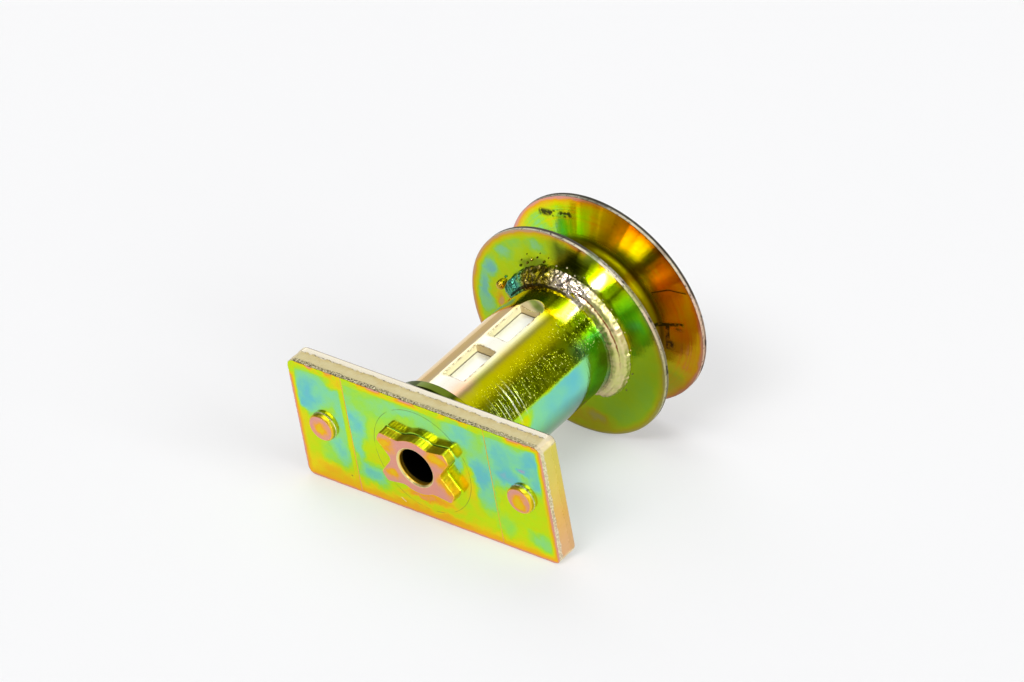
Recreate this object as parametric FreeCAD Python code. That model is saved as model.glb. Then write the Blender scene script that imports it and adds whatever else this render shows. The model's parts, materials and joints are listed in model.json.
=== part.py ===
import FreeCAD, Part
import math
import os

# Mower blade holder: a welded steel hub. A plate with a star boss and two pegs takes the blade,
# a keyed sleeve slips over the engine's crankshaft, and a V-groove pulley drives the wheels' belt.
# Built in the shaft's own frame: Z runs along the shaft from the plate's outer face to the pulley,
# X runs along the plate's long edges, and Y points to the side that lies on the ground.
# Sizes are in millimetres and degrees.

# Blade plate, a sheared bar
PLATE_LENGTH = 83.0
PLATE_WIDTH = 37.0
PLATE_THICK = 6.8
PLATE_CORNER_R = 2.2
PLATE_ROLLED_EDGE_R = 1.0
PLATE_BURR_EDGE = 0.15

# Star boss pressed out of the plate: four lobes of a six-point star, on a round hub
STAR_HEIGHT = 3.1
STAR_HUB_R = 8.3
STAR_TIP_R = 13.0
STAR_TIP_WIDTH = 3.0
STAR_FLANK_TAPER = 21.8
STAR_LOBE_ANGLE = 30.0
STAR_WAIST_R = 3.0
STAR_NOTCH_R = 1.2
STAR_TIP_CORNER_R = 0.6
STAR_SINK_DEPTH = 2.9
STAR_SINK_GAP = 0.3

# Bolt hole through the star
BOLT_HOLE_R = 5.35
BOLT_HOLE_CHAMFER = 0.5

# Blade pegs, pressed half out of the plate
PEG_SPACING = 65.0
PEG_R = 4.0
PEG_HEIGHT = 1.6
PEG_CHAMFER = 0.45
PEG_SINK_DEPTH = 1.4
PEG_SINK_GAP = 0.1

# Sleeve with a foot collar, turned from tube
SLEEVE_R = 16.5
CRANK_BORE_R = 12.75
COLLAR_R = 18.35
COLLAR_THICK = 2.6
COLLAR_EDGE = 0.3
COLLAR_ROOT_BEVEL = 0.3
SLEEVE_END_CHAMFER = 0.4
CRANK_MOUTH_CHAMFER = 0.8

# Two pockets punched into the sleeve wall, which raise the crankshaft key inside the bore
KEY_WIDTH = 6.35
KEY_LENGTH = 13.5
KEY_FIRST_START = 15.8
KEY_PITCH = 18.25
KEY_COUNT = 2
KEY_POCKET_DEPTH = 2.45
KEY_TURN = 2.0
KEY_CORNER_R = 0.5
KEY_SCOOP_R = 6.0
KEY_SCOOP_DEPTH = 1.05

# V-groove pulley, turned in one piece, flush with the sleeve's end
PULLEY_FRONT = 60.25
PULLEY_R = 31.3
PULLEY_WIDTH = 17.65
RIM_LAND = 1.5
GROOVE_DEPTH = 12.0
GROOVE_FLANK = 18.0
GROOVE_ROOT_BEVEL = 0.6
RIM_EDGE = 0.2
PULLEY_FIT = 0.05

# Fillet weld between the sleeve and the pulley's front face
WELD_LEG_SLEEVE = 3.6
WELD_LEG_FACE = 3.8
WELD_CROWN = 0.75
WELD_START_ANGLE = 158.0
WELD_END_ANGLE = -66.0
WELD_END_BEVEL = 1.0

V = FreeCAD.Vector
ORIGIN = V(0, 0, 0)
SHAFT = V(0, 0, 1)
TINY = 1e-3
PAST = 1.0


def turned(outline):
    """A solid turned about the shaft from (radius, height) corners."""
    wire = Part.makePolygon([V(r, 0, z) for r, z in outline + outline[:1]])
    return Part.Face(wire).revolve(ORIGIN, SHAFT, 360)


def disc(radius, low, high, x=0.0):
    """A round block about a line parallel to the shaft."""
    return Part.makeCylinder(radius, high - low, V(x, 0, low), SHAFT)


def rounded(solid, radius, wanted):
    """The solid with a fillet on every edge that wanted picks."""
    return solid.makeFillet(radius, [edge for edge in solid.Edges if wanted(edge)])


def chamfered(solid, size, wanted):
    """The solid with a chamfer on every edge that wanted picks."""
    return solid.makeChamfer(size, [edge for edge in solid.Edges if wanted(edge)])


def lies_at(edge, height):
    """Whether a whole edge lies in the plane at this height."""
    box = edge.BoundBox
    return abs(box.ZMin - height) < TINY and abs(box.ZMax - height) < TINY


def upright(edge):
    """Whether an edge is a straight line along the shaft."""
    box = edge.BoundBox
    return box.XLength < TINY and box.YLength < TINY and box.ZLength > TINY


def reach(edge):
    """How far an edge's middle is from the shaft's axis."""
    middle = edge.CenterOfMass
    return math.hypot(middle.x, middle.y)


def star(low, high, shrink=0.0):
    """The star's outline as a block between two heights, drawn in by shrink."""
    tip_r = STAR_TIP_R - shrink
    hub_r = STAR_HUB_R - shrink
    half_tip = STAR_TIP_WIDTH / 2 - shrink
    half_root = half_tip + tip_r * math.tan(math.radians(STAR_FLANK_TAPER))
    lobe_outline = [
        V(0, -half_root, low),
        V(tip_r, -half_tip, low),
        V(tip_r + PAST, -half_tip, low),
        V(tip_r + PAST, half_tip, low),
        V(tip_r, half_tip, low),
        V(0, half_root, low),
    ]
    lobe_face = Part.Face(Part.makePolygon(lobe_outline + lobe_outline[:1]))
    lobe = lobe_face.extrude(V(0, 0, high - low)).common(disc(tip_r, low, high))
    block = disc(hub_r, low, high)
    for side in (0, 180):
        for turn in (-STAR_LOBE_ANGLE, STAR_LOBE_ANGLE):
            arm = lobe.copy()
            arm.rotate(ORIGIN, SHAFT, side + turn)
            block = block.fuse(arm)
    block = block.removeSplitter()
    middle_r = (hub_r + tip_r) / 2

    def at_tip(edge):
        return upright(edge) and reach(edge) > middle_r

    def at_notch(edge):
        """The two inner corners on the plate's long axis, between a pair of lobes."""
        return upright(edge) and reach(edge) < middle_r and abs(edge.CenterOfMass.y) < half_tip

    def at_waist(edge):
        """The four inner corners where the lobes leave the hub."""
        return upright(edge) and reach(edge) < middle_r and abs(edge.CenterOfMass.y) > half_tip

    block = rounded(block, STAR_WAIST_R, at_waist)
    block = rounded(block, STAR_NOTCH_R, at_notch)
    return rounded(block, STAR_TIP_CORNER_R, at_tip)


def blade_plate():
    """The sheared bar with its pressed star, pegs and bolt hole."""
    corner = V(-PLATE_LENGTH / 2, -PLATE_WIDTH / 2, 0)
    peg_places = (-PEG_SPACING / 2, PEG_SPACING / 2)
    plate = Part.makeBox(PLATE_LENGTH, PLATE_WIDTH, PLATE_THICK, corner)
    plate = rounded(plate, PLATE_CORNER_R, upright)
    plate = rounded(plate, PLATE_ROLLED_EDGE_R, lambda edge: lies_at(edge, PLATE_THICK))
    plate = chamfered(plate, PLATE_BURR_EDGE, lambda edge: lies_at(edge, 0))

    plate = plate.fuse(star(-STAR_HEIGHT, PLATE_THICK / 2))
    for x in peg_places:
        peg = disc(PEG_R, -PEG_HEIGHT, PLATE_THICK / 2, x)
        peg = chamfered(peg, PEG_CHAMFER, lambda edge: lies_at(edge, -PEG_HEIGHT))
        plate = plate.fuse(peg)
    plate = plate.removeSplitter()

    back = PLATE_THICK + PAST
    plate = plate.cut(star(PLATE_THICK - STAR_SINK_DEPTH, back, STAR_SINK_GAP))
    for x in peg_places:
        plate = plate.cut(disc(PEG_R - PEG_SINK_GAP, PLATE_THICK - PEG_SINK_DEPTH, back, x))

    plate = plate.cut(disc(BOLT_HOLE_R, -STAR_HEIGHT - PAST, back))
    mouth_r = BOLT_HOLE_R + BOLT_HOLE_CHAMFER
    mouth = Part.makeCone(mouth_r, BOLT_HOLE_R, BOLT_HOLE_CHAMFER, V(0, 0, -STAR_HEIGHT), SHAFT)
    return plate.cut(mouth)


def key_block(start, low, high):
    """A block over one key's length and width, between two distances from the shaft's axis."""
    corner = V(-KEY_WIDTH / 2, -high, start)
    block = Part.makeBox(KEY_WIDTH, high - low, KEY_LENGTH, corner)
    block = rounded(block, KEY_CORNER_R, lambda edge: edge.BoundBox.YLength > high - low - TINY)
    block.rotate(ORIGIN, SHAFT, KEY_TURN)
    return block


def key_scoop(height):
    """The shallow hollow that the punch drew in past the last pocket, a ball pressed into the wall."""
    ball = Part.makeSphere(KEY_SCOOP_R, V(0, KEY_SCOOP_DEPTH - SLEEVE_R - KEY_SCOOP_R, height))
    ball.rotate(ORIGIN, SHAFT, KEY_TURN)
    return ball


def drive_sleeve():
    """The turned sleeve with its foot collar, two key pockets outside and the keys they raise inside."""
    foot = PLATE_THICK
    end = PULLEY_FRONT + PULLEY_WIDTH
    collar_top = PLATE_THICK + COLLAR_THICK
    sleeve = turned([
        (CRANK_BORE_R, foot),
        (COLLAR_R - COLLAR_EDGE, foot),
        (COLLAR_R, foot + COLLAR_EDGE),
        (COLLAR_R, collar_top - COLLAR_EDGE),
        (COLLAR_R - COLLAR_EDGE, collar_top),
        (SLEEVE_R + COLLAR_ROOT_BEVEL, collar_top),
        (SLEEVE_R, collar_top + COLLAR_ROOT_BEVEL),
        (SLEEVE_R, end - SLEEVE_END_CHAMFER),
        (SLEEVE_R - SLEEVE_END_CHAMFER, end),
        (CRANK_BORE_R + CRANK_MOUTH_CHAMFER, end),
        (CRANK_BORE_R, end - CRANK_MOUTH_CHAMFER),
    ])
    floor = SLEEVE_R - KEY_POCKET_DEPTH
    key_top = CRANK_BORE_R - KEY_POCKET_DEPTH
    for number in range(KEY_COUNT):
        start = KEY_FIRST_START + number * KEY_PITCH
        sleeve = sleeve.fuse(key_block(start, key_top, floor))
        sleeve = sleeve.cut(key_block(start, floor, SLEEVE_R + PAST))
    last_end = KEY_FIRST_START + (KEY_COUNT - 1) * KEY_PITCH + KEY_LENGTH
    return sleeve.cut(key_scoop(last_end)).removeSplitter()


def belt_pulley():
    """The turned pulley: flat outer faces, thin rim lands and a V groove between them."""
    back = PULLEY_FRONT + PULLEY_WIDTH
    bore_r = SLEEVE_R + PULLEY_FIT
    root_r = PULLEY_R - GROOVE_DEPTH
    slant = math.tan(math.radians(GROOVE_FLANK))
    run_in = GROOVE_DEPTH * slant
    bevel_in = run_in - GROOVE_ROOT_BEVEL * slant
    bevel_along = run_in + GROOVE_ROOT_BEVEL
    front_top = PULLEY_FRONT + RIM_LAND
    back_top = back - RIM_LAND
    return turned([
        (bore_r, PULLEY_FRONT),
        (PULLEY_R - RIM_EDGE, PULLEY_FRONT),
        (PULLEY_R, PULLEY_FRONT + RIM_EDGE),
        (PULLEY_R, front_top),
        (root_r + GROOVE_ROOT_BEVEL, front_top + bevel_in),
        (root_r, front_top + bevel_along),
        (root_r, back_top - bevel_along),
        (root_r + GROOVE_ROOT_BEVEL, back_top - bevel_in),
        (PULLEY_R, back_top),
        (PULLEY_R, back - RIM_EDGE),
        (PULLEY_R - RIM_EDGE, back),
        (bore_r, back),
    ])


def pulley_weld():
    """The fillet weld, run part of the way round the sleeve on the pulley's front face."""
    root = V(SLEEVE_R, 0, PULLEY_FRONT)
    on_sleeve = V(SLEEVE_R, 0, PULLEY_FRONT - WELD_LEG_SLEEVE)
    on_face = V(SLEEVE_R + WELD_LEG_FACE, 0, PULLEY_FRONT)
    outward = V(WELD_LEG_SLEEVE, 0, -WELD_LEG_FACE).normalize()
    crown = (on_sleeve + on_face) / 2 + outward * WELD_CROWN
    section = Part.Face(Part.Wire([
        Part.makeLine(root, on_sleeve),
        Part.Arc(on_sleeve, crown, on_face).toShape(),
        Part.makeLine(on_face, root),
    ]))
    section.rotate(ORIGIN, SHAFT, -WELD_START_ANGLE)
    bead = section.revolve(ORIGIN, SHAFT, WELD_START_ANGLE - WELD_END_ANGLE)

    def end_arc(edge):
        return isinstance(edge.Curve, Part.Circle) and edge.BoundBox.ZLength > TINY

    return chamfered(bead, WELD_END_BEVEL, end_arc)


def laid_down(shapes):
    """The shapes turned from the shaft's frame to how the part lies: on the plate's lower outer edge
    and the pulley's front rim, with the origin below the middle of its box, on the ground."""
    drop = PULLEY_R - PLATE_WIDTH / 2
    run = PULLEY_FRONT + RIM_EDGE - PLATE_BURR_EDGE
    tilt = math.degrees(math.atan2(drop, run))
    for shape in shapes:
        shape.rotate(ORIGIN, V(1, 0, 0), tilt - 90)
    box = Part.makeCompound(shapes).optimalBoundingBox(False, False)
    for shape in shapes:
        shape.translate(V(-box.Center.x, -box.Center.y, -box.ZMin))
    print("rest tilt", round(tilt, 3), "box", box)


def main():
    pieces = {
        "blade_plate": blade_plate(),
        "drive_sleeve": drive_sleeve(),
        "belt_pulley": belt_pulley(),
        "pulley_weld": pulley_weld(),
    }
    laid_down(list(pieces.values()))
    os.makedirs("parts", exist_ok=True)
    for name, shape in pieces.items():
        shape.exportStep("parts/" + name + ".step")
        print(name, "valid", shape.isValid(), "solids", len(shape.Solids), "volume", round(shape.Volume, 1))


main()
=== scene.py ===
# %% [markdown]
# This is the looks of a mower blade holder: a steel plate with a star boss and two pegs, a keyed
# sleeve, a V-groove pulley and one weld bead, all plated together in yellow-passivated zinc.
# The solids come first and stay fixed. Every shape below is drawn round the same shaft, so
# nothing has to be fitted afterwards.

# %% Load the solids
import json
import math
import bmesh
import bpy
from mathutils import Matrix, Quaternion, Vector, noise
from mathutils.geometry import tessellate_polygon


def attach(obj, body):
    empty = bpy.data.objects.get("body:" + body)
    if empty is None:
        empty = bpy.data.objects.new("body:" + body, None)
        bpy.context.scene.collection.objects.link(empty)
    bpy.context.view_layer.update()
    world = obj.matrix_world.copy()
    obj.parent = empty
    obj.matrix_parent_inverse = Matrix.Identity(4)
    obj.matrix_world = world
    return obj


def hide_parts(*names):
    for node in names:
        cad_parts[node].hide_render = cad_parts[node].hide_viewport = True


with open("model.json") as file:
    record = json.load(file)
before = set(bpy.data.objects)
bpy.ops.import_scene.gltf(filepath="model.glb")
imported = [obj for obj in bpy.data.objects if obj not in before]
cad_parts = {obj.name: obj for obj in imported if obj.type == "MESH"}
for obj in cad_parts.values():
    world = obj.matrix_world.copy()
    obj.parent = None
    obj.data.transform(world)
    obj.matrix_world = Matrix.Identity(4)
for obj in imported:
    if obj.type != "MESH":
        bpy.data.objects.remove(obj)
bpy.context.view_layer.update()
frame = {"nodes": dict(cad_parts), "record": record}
MM = 0.001
print("solids", sorted(frame["nodes"]))

# %% [markdown]
# The part lies on its plate and its pulley, so its shaft leans a little. It is much easier to draw
# round the shaft than in the leaning frame. The record says where the bore's mouth is and which
# way it runs, and from those two facts come three directions: to the side, up and along the shaft.
# Lengths here are in millimetres, and place() turns them into the frame's metres.

# %% The shaft's own directions
SLEEVE_END = 77.9
bore_mouth = next(mount for mount in frame["record"]["mounts"] if mount["name"] == "crank_bore")
ALONG = Vector(bore_mouth["axis"]).normalized()
SIDE = Vector((1, 0, 0))
UP = SIDE.cross(ALONG)
FOOT = Vector(bore_mouth["pos_m"]) - ALONG * SLEEVE_END * MM


def place(x, up, along):
    """A point of the frame, in metres, from millimetres in the shaft's own directions."""
    return FOOT + (SIDE * x + UP * up + ALONG * along) * MM


def round_shaft(radius, angle, along):
    """Side, up and along, from a radius and an angle round the shaft. 0 is to the side, 90 is up."""
    turn = math.radians(angle)
    return (radius * math.cos(turn), radius * math.sin(turn), along)


print("shaft leans", round(math.degrees(math.asin(ALONG.z)), 2), "degrees")

# %% [markdown]
# The photograph was taken from far away with a long lens, so lines that run the same way stay
# nearly parallel. A short lens close by would show the plate too large against the pulley. The
# camera looks down on the part from the front right, and is rolled by about a degree.

# %% Camera
VIEW_TARGET = Vector((-2.375, 0.306, 35.414)) * MM
VIEW_AZIMUTH = 39.726
VIEW_ELEVATION = 27.177
VIEW_ROLL = -1.253
VIEW_DISTANCE = 2.2948
LENS = 316.41

azimuth, elevation = math.radians(VIEW_AZIMUTH), math.radians(VIEW_ELEVATION)
backwards = Vector((
    math.sin(azimuth) * math.cos(elevation),
    -math.cos(azimuth) * math.cos(elevation),
    math.sin(elevation),
))
camera_data = bpy.data.cameras.new("camera")
camera_data.lens = LENS
camera_data.sensor_width = 36.0
camera_data.clip_end = 200.0
camera = bpy.data.objects.new("camera", camera_data)
camera.location = VIEW_TARGET + backwards * VIEW_DISTANCE
level_turn = (-backwards).to_track_quat("-Z", "Y")
camera.rotation_mode = "QUATERNION"
camera.rotation_quaternion = level_turn @ Quaternion((0, 0, 1), math.radians(VIEW_ROLL))
bpy.context.scene.collection.objects.link(camera)
bpy.context.scene.camera = camera
print("camera at", [round(v, 3) for v in camera.location])

# %% [markdown]
# A material is a small net of nodes. Written by hand, each node takes three or four lines, and the
# sum that it stands for is lost. Here a Wire stands for one output of a node, and Python's own
# signs work on it, so a mask reads as it would on paper. Colours and directions have their own
# nodes, because a Math node would turn a colour grey.

# %% Sums on sockets
SIGNS = {"add": "ADD", "sub": "SUBTRACT", "mul": "MULTIPLY", "truediv": "DIVIDE"}


class Wire:
    """One output of a node. Sums on it add Math nodes."""

    def __init__(self, tree, socket=None):
        self.tree = tree
        self.socket = socket

    def node(self, kind, settings=None, values=None, output=0):
        """Adds any node: its settings first, then a value or a wire for each socket."""
        made = self.tree.nodes.new(kind)
        settings = dict(settings or {})
        stops = settings.pop("stops", None)
        for name, value in settings.items():
            setattr(made, name, value)
        if stops:
            fill_ramp(made.color_ramp, stops)
        for name, value in (values or {}).items():
            if isinstance(value, Wire):
                self.tree.links.new(value.socket, made.inputs[name])
            else:
                made.inputs[name].default_value = value
        return Wire(self.tree, made.outputs[output])

    def maths(self, operation, *values, clamp=False):
        """A Math node on this wire and the values given."""
        numbers = dict(enumerate((self, *values)))
        return self.node("ShaderNodeMath", {"operation": operation, "use_clamp": clamp}, numbers)

    def vector(self, operation, *values, output=0):
        """A Vector Math node on this wire and the values given."""
        vectors = dict(enumerate((self, *values)))
        return self.node("ShaderNodeVectorMath", {"operation": operation}, vectors, output)

    def scaled(self, amount):
        """This direction made longer or shorter."""
        return self.node("ShaderNodeVectorMath", {"operation": "SCALE"}, {"Vector": self, "Scale": amount})

    def mixed(self, other, amount):
        """This colour turning into the other as the amount goes from 0 to 1."""
        made = self.tree.nodes.new("ShaderNodeMix")
        made.data_type = "RGBA"
        for socket, value in ((made.inputs[6], self), (made.inputs[7], other), (made.inputs[0], amount)):
            if isinstance(value, Wire):
                self.tree.links.new(value.socket, socket)
            else:
                socket.default_value = value
        return Wire(self.tree, made.outputs[2])

    def rise(self, low, high):
        """0 below low, 1 above high and a smooth rise between."""
        settings = {"interpolation_type": "SMOOTHSTEP"}
        return self.node("ShaderNodeMapRange", settings, {"Value": self, "From Min": low, "From Max": high})

    def band(self, middle, half, soft):
        """1 within half of the middle, falling to 0 over soft on each side."""
        return 1 - (self - middle).maths("ABSOLUTE").rise(half, half + soft)

    def least(self, other):
        """The smaller of the two."""
        return self.maths("MINIMUM", other)

    def most(self, other):
        """The larger of the two."""
        return self.maths("MAXIMUM", other)

    def held(self):
        """Kept between 0 and 1."""
        return self.maths("ADD", 0.0, clamp=True)


def fill_ramp(ramp, stops):
    """Gives a colour ramp its stops, each a place from 0 to 1 and a colour."""
    while len(ramp.elements) < len(stops):
        ramp.elements.new(0.5)
    for element, (at, colour) in zip(ramp.elements, stops):
        element.position = at
        element.color = colour


def add_sign(name, operation):
    """Lets Python's sign work on wires, with the wire on its left or on its right."""
    def forward(self, other):
        return self.maths(operation, other)

    def reflected(self, other):
        return self.node("ShaderNodeMath", {"operation": operation}, {0: other, 1: self})

    setattr(Wire, "__" + name + "__", forward)
    setattr(Wire, "__r" + name + "__", reflected)


for sign_name, sign_operation in SIGNS.items():
    add_sign(sign_name, sign_operation)


def paint(red, green, blue):
    """A colour as a screen shows it, from 0 to 255, turned into the light values that nodes use."""
    parts = [part / 255 for part in (red, green, blue)]
    light = [part / 12.92 if part <= 0.04045 else ((part + 0.055) / 1.055) ** 2.4 for part in parts]
    return (*light, 1.0)


print("signs on wires", ", ".join(SIGNS))

# %% [markdown]
# The floor is one plain pale sheet that runs on past the view, so it is also the background, and
# polished metal shows it at every angle. Polished metal shows the room too, so the light is a
# studio sky. A long soft box behind and above shows as the pale strip on top of the sleeve, where
# the sleeve is also painted pale as a painted highlight. Two small bright ones high in front light
# the fans on the pulley, which are partly painted reflections, and one low on the right casts the
# soft shadow to the left. A strip overhead and a few glows do the rest, and between them the room is
# dim, which gives the metal its dark streaks. Lamps would be simpler, but a lamp's light fades across
# the floor, and a sky lights it evenly out to its edge.

# %% Floor and studio light
FLOOR_HALF = 60.0
FLOOR_PAINT = paint(245, 245, 246)
FLOOR_LIFT = 0.36
ROOM_LIGHT = 0.06
LONG_BOX = {"middle": (-0.518, 0.414, 0.747), "reach": (-0.779, 0.130, -0.613), "light": 1.32,
            "start": (-0.66, -0.36), "end": (0.46, 0.50), "half": 0.24, "soft": 0.10}
FRONT_BOX = {"middle": (0.17, -0.735, 0.656), "reach": (-0.970, -0.235, 0.02), "light": 12.5,
             "start": (-0.30, -0.19), "end": (0.13, 0.26), "half": 0.06, "soft": 0.06}
HIGH_BOX = {"middle": (0.12, -0.66, 0.742), "reach": (-0.98, -0.18, 0.03), "light": 5.0,
            "start": (-0.30, -0.18), "end": (0.22, 0.40), "half": 0.06, "soft": 0.06}
SIDE_BOX = {"middle": (0.88, -0.10, 0.46), "reach": (0.0, 0.0, 1.0), "light": 7.5,
            "start": (-0.30, -0.18), "end": (0.20, 0.32), "half": 0.18, "soft": 0.10}
TOP_STRIP = {"middle": (0.0, -0.32, 0.95), "reach": (1, 0, 0), "light": 2.0,
             "start": (-0.55, -0.40), "end": (0.40, 0.55), "half": 0.09, "soft": 0.06}
GLOWS = (
    ((-0.10, 0.45, 0.89), 8, 47, 0.26),
    ((0.30, 0.22, 0.93), 6, 22, 0.35),
    ((-0.84, 0.52, 0.12), 18, 42, 0.60),
    ((0.82, -0.55, 0.14), 5, 16, 2.6),
    ((0.70, 0.60, 0.35), 20, 50, 0.12),
    ((-0.31, -0.53, 0.79), 6, 16, 0.8),
    ((0.54, -0.70, 0.47), 3, 10, 0.9),
)

corners = [(-FLOOR_HALF, -FLOOR_HALF, 0), (FLOOR_HALF, -FLOOR_HALF, 0),
           (FLOOR_HALF, FLOOR_HALF, 0), (-FLOOR_HALF, FLOOR_HALF, 0)]
floor_mesh = bpy.data.meshes.new("floor")
floor_mesh.from_pydata(corners, [], [(0, 1, 2, 3)])
floor = bpy.data.objects.new("floor", floor_mesh)
bpy.context.scene.collection.objects.link(floor)

floor_material = bpy.data.materials.new("pale_floor")
floor_material.use_nodes = True
floor_shader = floor_material.node_tree.nodes["Principled BSDF"]
floor_shader.inputs["Base Color"].default_value = FLOOR_PAINT
floor_shader.inputs["Roughness"].default_value = 0.9
floor_shader.inputs["Specular IOR Level"].default_value = 0.0
floor_tree = floor_material.node_tree
rays = floor_tree.nodes.new("ShaderNodeLightPath")
seen = Wire(floor_tree, rays.outputs["Is Camera Ray"])
for ray in ("Is Glossy Ray", "Is Transmission Ray"):
    seen = seen.most(Wire(floor_tree, rays.outputs[ray]))
paper = seen.node("ShaderNodeEmission", None, {"Color": FLOOR_PAINT})
sheet = Wire(floor_tree, floor_shader.outputs[0])
lifted = seen.node("ShaderNodeMixShader", None, {0: seen * FLOOR_LIFT, 1: sheet, 2: paper})
floor_tree.links.new(lifted.socket, floor_tree.nodes["Material Output"].inputs["Surface"])
floor_mesh.materials.append(floor_material)


def towards(look, direction):
    """How squarely a wire of directions points one way, as the cosine between them."""
    return look.vector("DOT_PRODUCT", tuple(Vector(direction).normalized()), output="Value")


def soft_box(look, middle, reach, light, start, end, half, soft):
    """A glowing panel far away, soft along its ends by its own start and end."""
    middle = Vector(middle).normalized()
    reach = (Vector(reach) - middle * middle.dot(Vector(reach))).normalized()
    ahead = towards(look, middle).most(0.05)
    u = towards(look, reach) / ahead
    v = towards(look, middle.cross(reach)) / ahead
    panel = u.rise(*start) * (1 - u.rise(*end)) * v.band(0.0, half, soft)
    return panel * ahead.rise(0.1, 0.2) * light


def studio_sky():
    """The room as the metal sees it, by direction."""
    world = bpy.data.worlds.new("studio")
    world.use_nodes = True
    tree = world.node_tree
    look = Wire(tree).node("ShaderNodeTexCoord", output="Generated")
    light = soft_box(look, **LONG_BOX) + ROOM_LIGHT
    for box in (FRONT_BOX, HIGH_BOX, SIDE_BOX, TOP_STRIP):
        light = light + soft_box(look, **box)
    for direction, inner, outer, strength in GLOWS:
        near, far = math.cos(math.radians(inner)), math.cos(math.radians(outer))
        light = light + towards(look, direction).rise(far, near) * strength
    background = tree.nodes["Background"]
    background.inputs["Color"].default_value = (1, 1, 1, 1)
    tree.links.new(light.socket, background.inputs["Strength"])
    bpy.context.scene.world = world


studio_sky()
bpy.context.scene.view_settings.view_transform = "Standard"
print("floor", FLOOR_HALF * 2, "m wide")

# %% [markdown]
# Every piece is a skin of rings: a ring is a closed line of points, and two rings with as many
# points are bridged by a band of faces. Flat faces with holes are capped in one go. Boolean cuts on
# ready-made cylinders would be quicker to write, but they leave thin slivers, which show as dents in a
# polished surface. The skin also sets its own normals: a point on a flat face keeps that
# face's normal, so rounded edges shade softly and flats stay dead flat.

# %% Skins of rings
class Skin:
    """A closed surface, made ring by ring in the shaft's own directions."""

    def __init__(self):
        self.mesh = bmesh.new()
        self.flat = {}

    def ring(self, points):
        """A closed line of points, each given as side, up and along."""
        return [self.mesh.verts.new(place(*point)) for point in points]

    def bridge(self, low, high):
        """A band of faces between two rings with as many points."""
        for i in range(len(low)):
            j = (i + 1) % len(low)
            self.mesh.faces.new((low[i], low[j], high[j], high[i]))

    def tube(self, rings):
        """Bridges each ring to the next."""
        for low, high in zip(rings, rings[1:]):
            self.bridge(low, high)

    def cap(self, outer, *holes):
        """Closes a ring with a flat face that leaves these holes open."""
        loops = [outer, *holes]
        points = [vert for loop in loops for vert in loop]
        for triangle in tessellate_polygon([[vert.co for vert in loop] for loop in loops]):
            face = self.mesh.faces.new([points[i] for i in triangle])
            for i in triangle:
                self.flat.setdefault(points[i], face)

    def piece(self, name, slot, *nodes):
        """Turns the skin into a piece that rides on the part and stands for these solids."""
        bmesh.ops.recalc_face_normals(self.mesh, faces=self.mesh.faces)
        self.mesh.normal_update()
        normals = []
        self.mesh.verts.index_update()
        for vert in self.mesh.verts:
            if vert in self.flat:
                normals.append(self.flat[vert].normal.copy())
                continue
            total = Vector()
            for face in vert.link_faces:
                total += face.normal * face.calc_area()
            normals.append(total.normalized())
        mesh = bpy.data.meshes.new(name)
        self.mesh.to_mesh(mesh)
        self.mesh.free()
        mesh.shade_smooth()
        mesh.normals_split_custom_set_from_vertices(normals)
        piece = bpy.data.objects.new(name, mesh)
        bpy.context.scene.collection.objects.link(piece)
        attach(piece, "root")
        if nodes:
            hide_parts(*nodes)
        print(name, len(mesh.vertices), "points", len(mesh.polygons), "faces")
        return piece


def eased(corners, steps=3):
    """Rounds the corners of a closed outline. Each corner is two coordinates and its radius."""
    rounded = []
    count = len(corners)
    for i, (a, b, radius) in enumerate(corners):
        here = Vector((a, b))
        before = Vector(corners[i - 1][:2])
        after = Vector(corners[(i + 1) % count][:2])
        if radius == 0:
            rounded.append((a, b))
            continue
        to_before = (before - here).normalized()
        to_after = (after - here).normalized()
        half = to_before.angle(to_after) / 2
        back = radius / math.tan(half)
        middle = here + (to_before + to_after).normalized() * radius / math.sin(half)
        start = here + to_before * back - middle
        end = here + to_after * back - middle
        for step in range(steps + 1):
            spoke = start.lerp(end, step / steps).normalized() * radius
            rounded.append(tuple(middle + spoke))
    return rounded


def turned_rings(skin, outline, count):
    """Rings round the shaft, one for each radius and height in the outline."""
    rings = []
    for radius, along in outline:
        rings.append(skin.ring([round_shaft(radius, 360 * i / count, along) for i in range(count)]))
    return rings


print("rings ready")


# %% [markdown]
# The pulley was turned in one piece: flat outer faces, two thin rims and a V groove for the wheels'
# belt. A lathe outline carries all of it. Each corner gets a small radius, because a real
# edge is never sharp, and it is the edge that catches the light.

# %% Pulley
PULLEY_FRONT = 60.25
PULLEY_R = 31.3
RIM_LAND = 1.5
GROOVE_DEPTH = 12.0
GROOVE_FLANK = 18.0
SLEEVE_R = 16.5
PULLEY_BORE_R = SLEEVE_R + 0.05
PULLEY_FACETS = 288

groove_root = PULLEY_R - GROOVE_DEPTH
groove_run = GROOVE_DEPTH * math.tan(math.radians(GROOVE_FLANK))
front_land = PULLEY_FRONT + RIM_LAND
back_land = SLEEVE_END - RIM_LAND
pulley_outline = eased([
    (PULLEY_BORE_R, PULLEY_FRONT, 0.1),
    (PULLEY_R, PULLEY_FRONT, 0.22),
    (PULLEY_R, front_land, 0.16),
    (groove_root, front_land + groove_run, 2.0),
    (groove_root, back_land - groove_run, 2.0),
    (PULLEY_R, back_land, 0.16),
    (PULLEY_R, SLEEVE_END, 0.22),
    (PULLEY_BORE_R, SLEEVE_END, 0.1),
])
pulley_skin = Skin()
pulley_rings = turned_rings(pulley_skin, pulley_outline, PULLEY_FACETS)
pulley_skin.tube(pulley_rings + pulley_rings[:1])
pulley = pulley_skin.piece("turned_pulley", "zinc_pulley", "belt_pulley")

# %% [markdown]
# The sleeve is tube with a foot collar. Two pockets are punched into its wall to raise the
# key inside the bore, and the punch drew in a shallow scoop past the last one. The outside
# is a net of rings and columns, packed close along the pockets' walls, and the wall's depth at
# each point comes from a formula. That gives the punched edges their soft shoulders, which a
# cut would not have.

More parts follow.
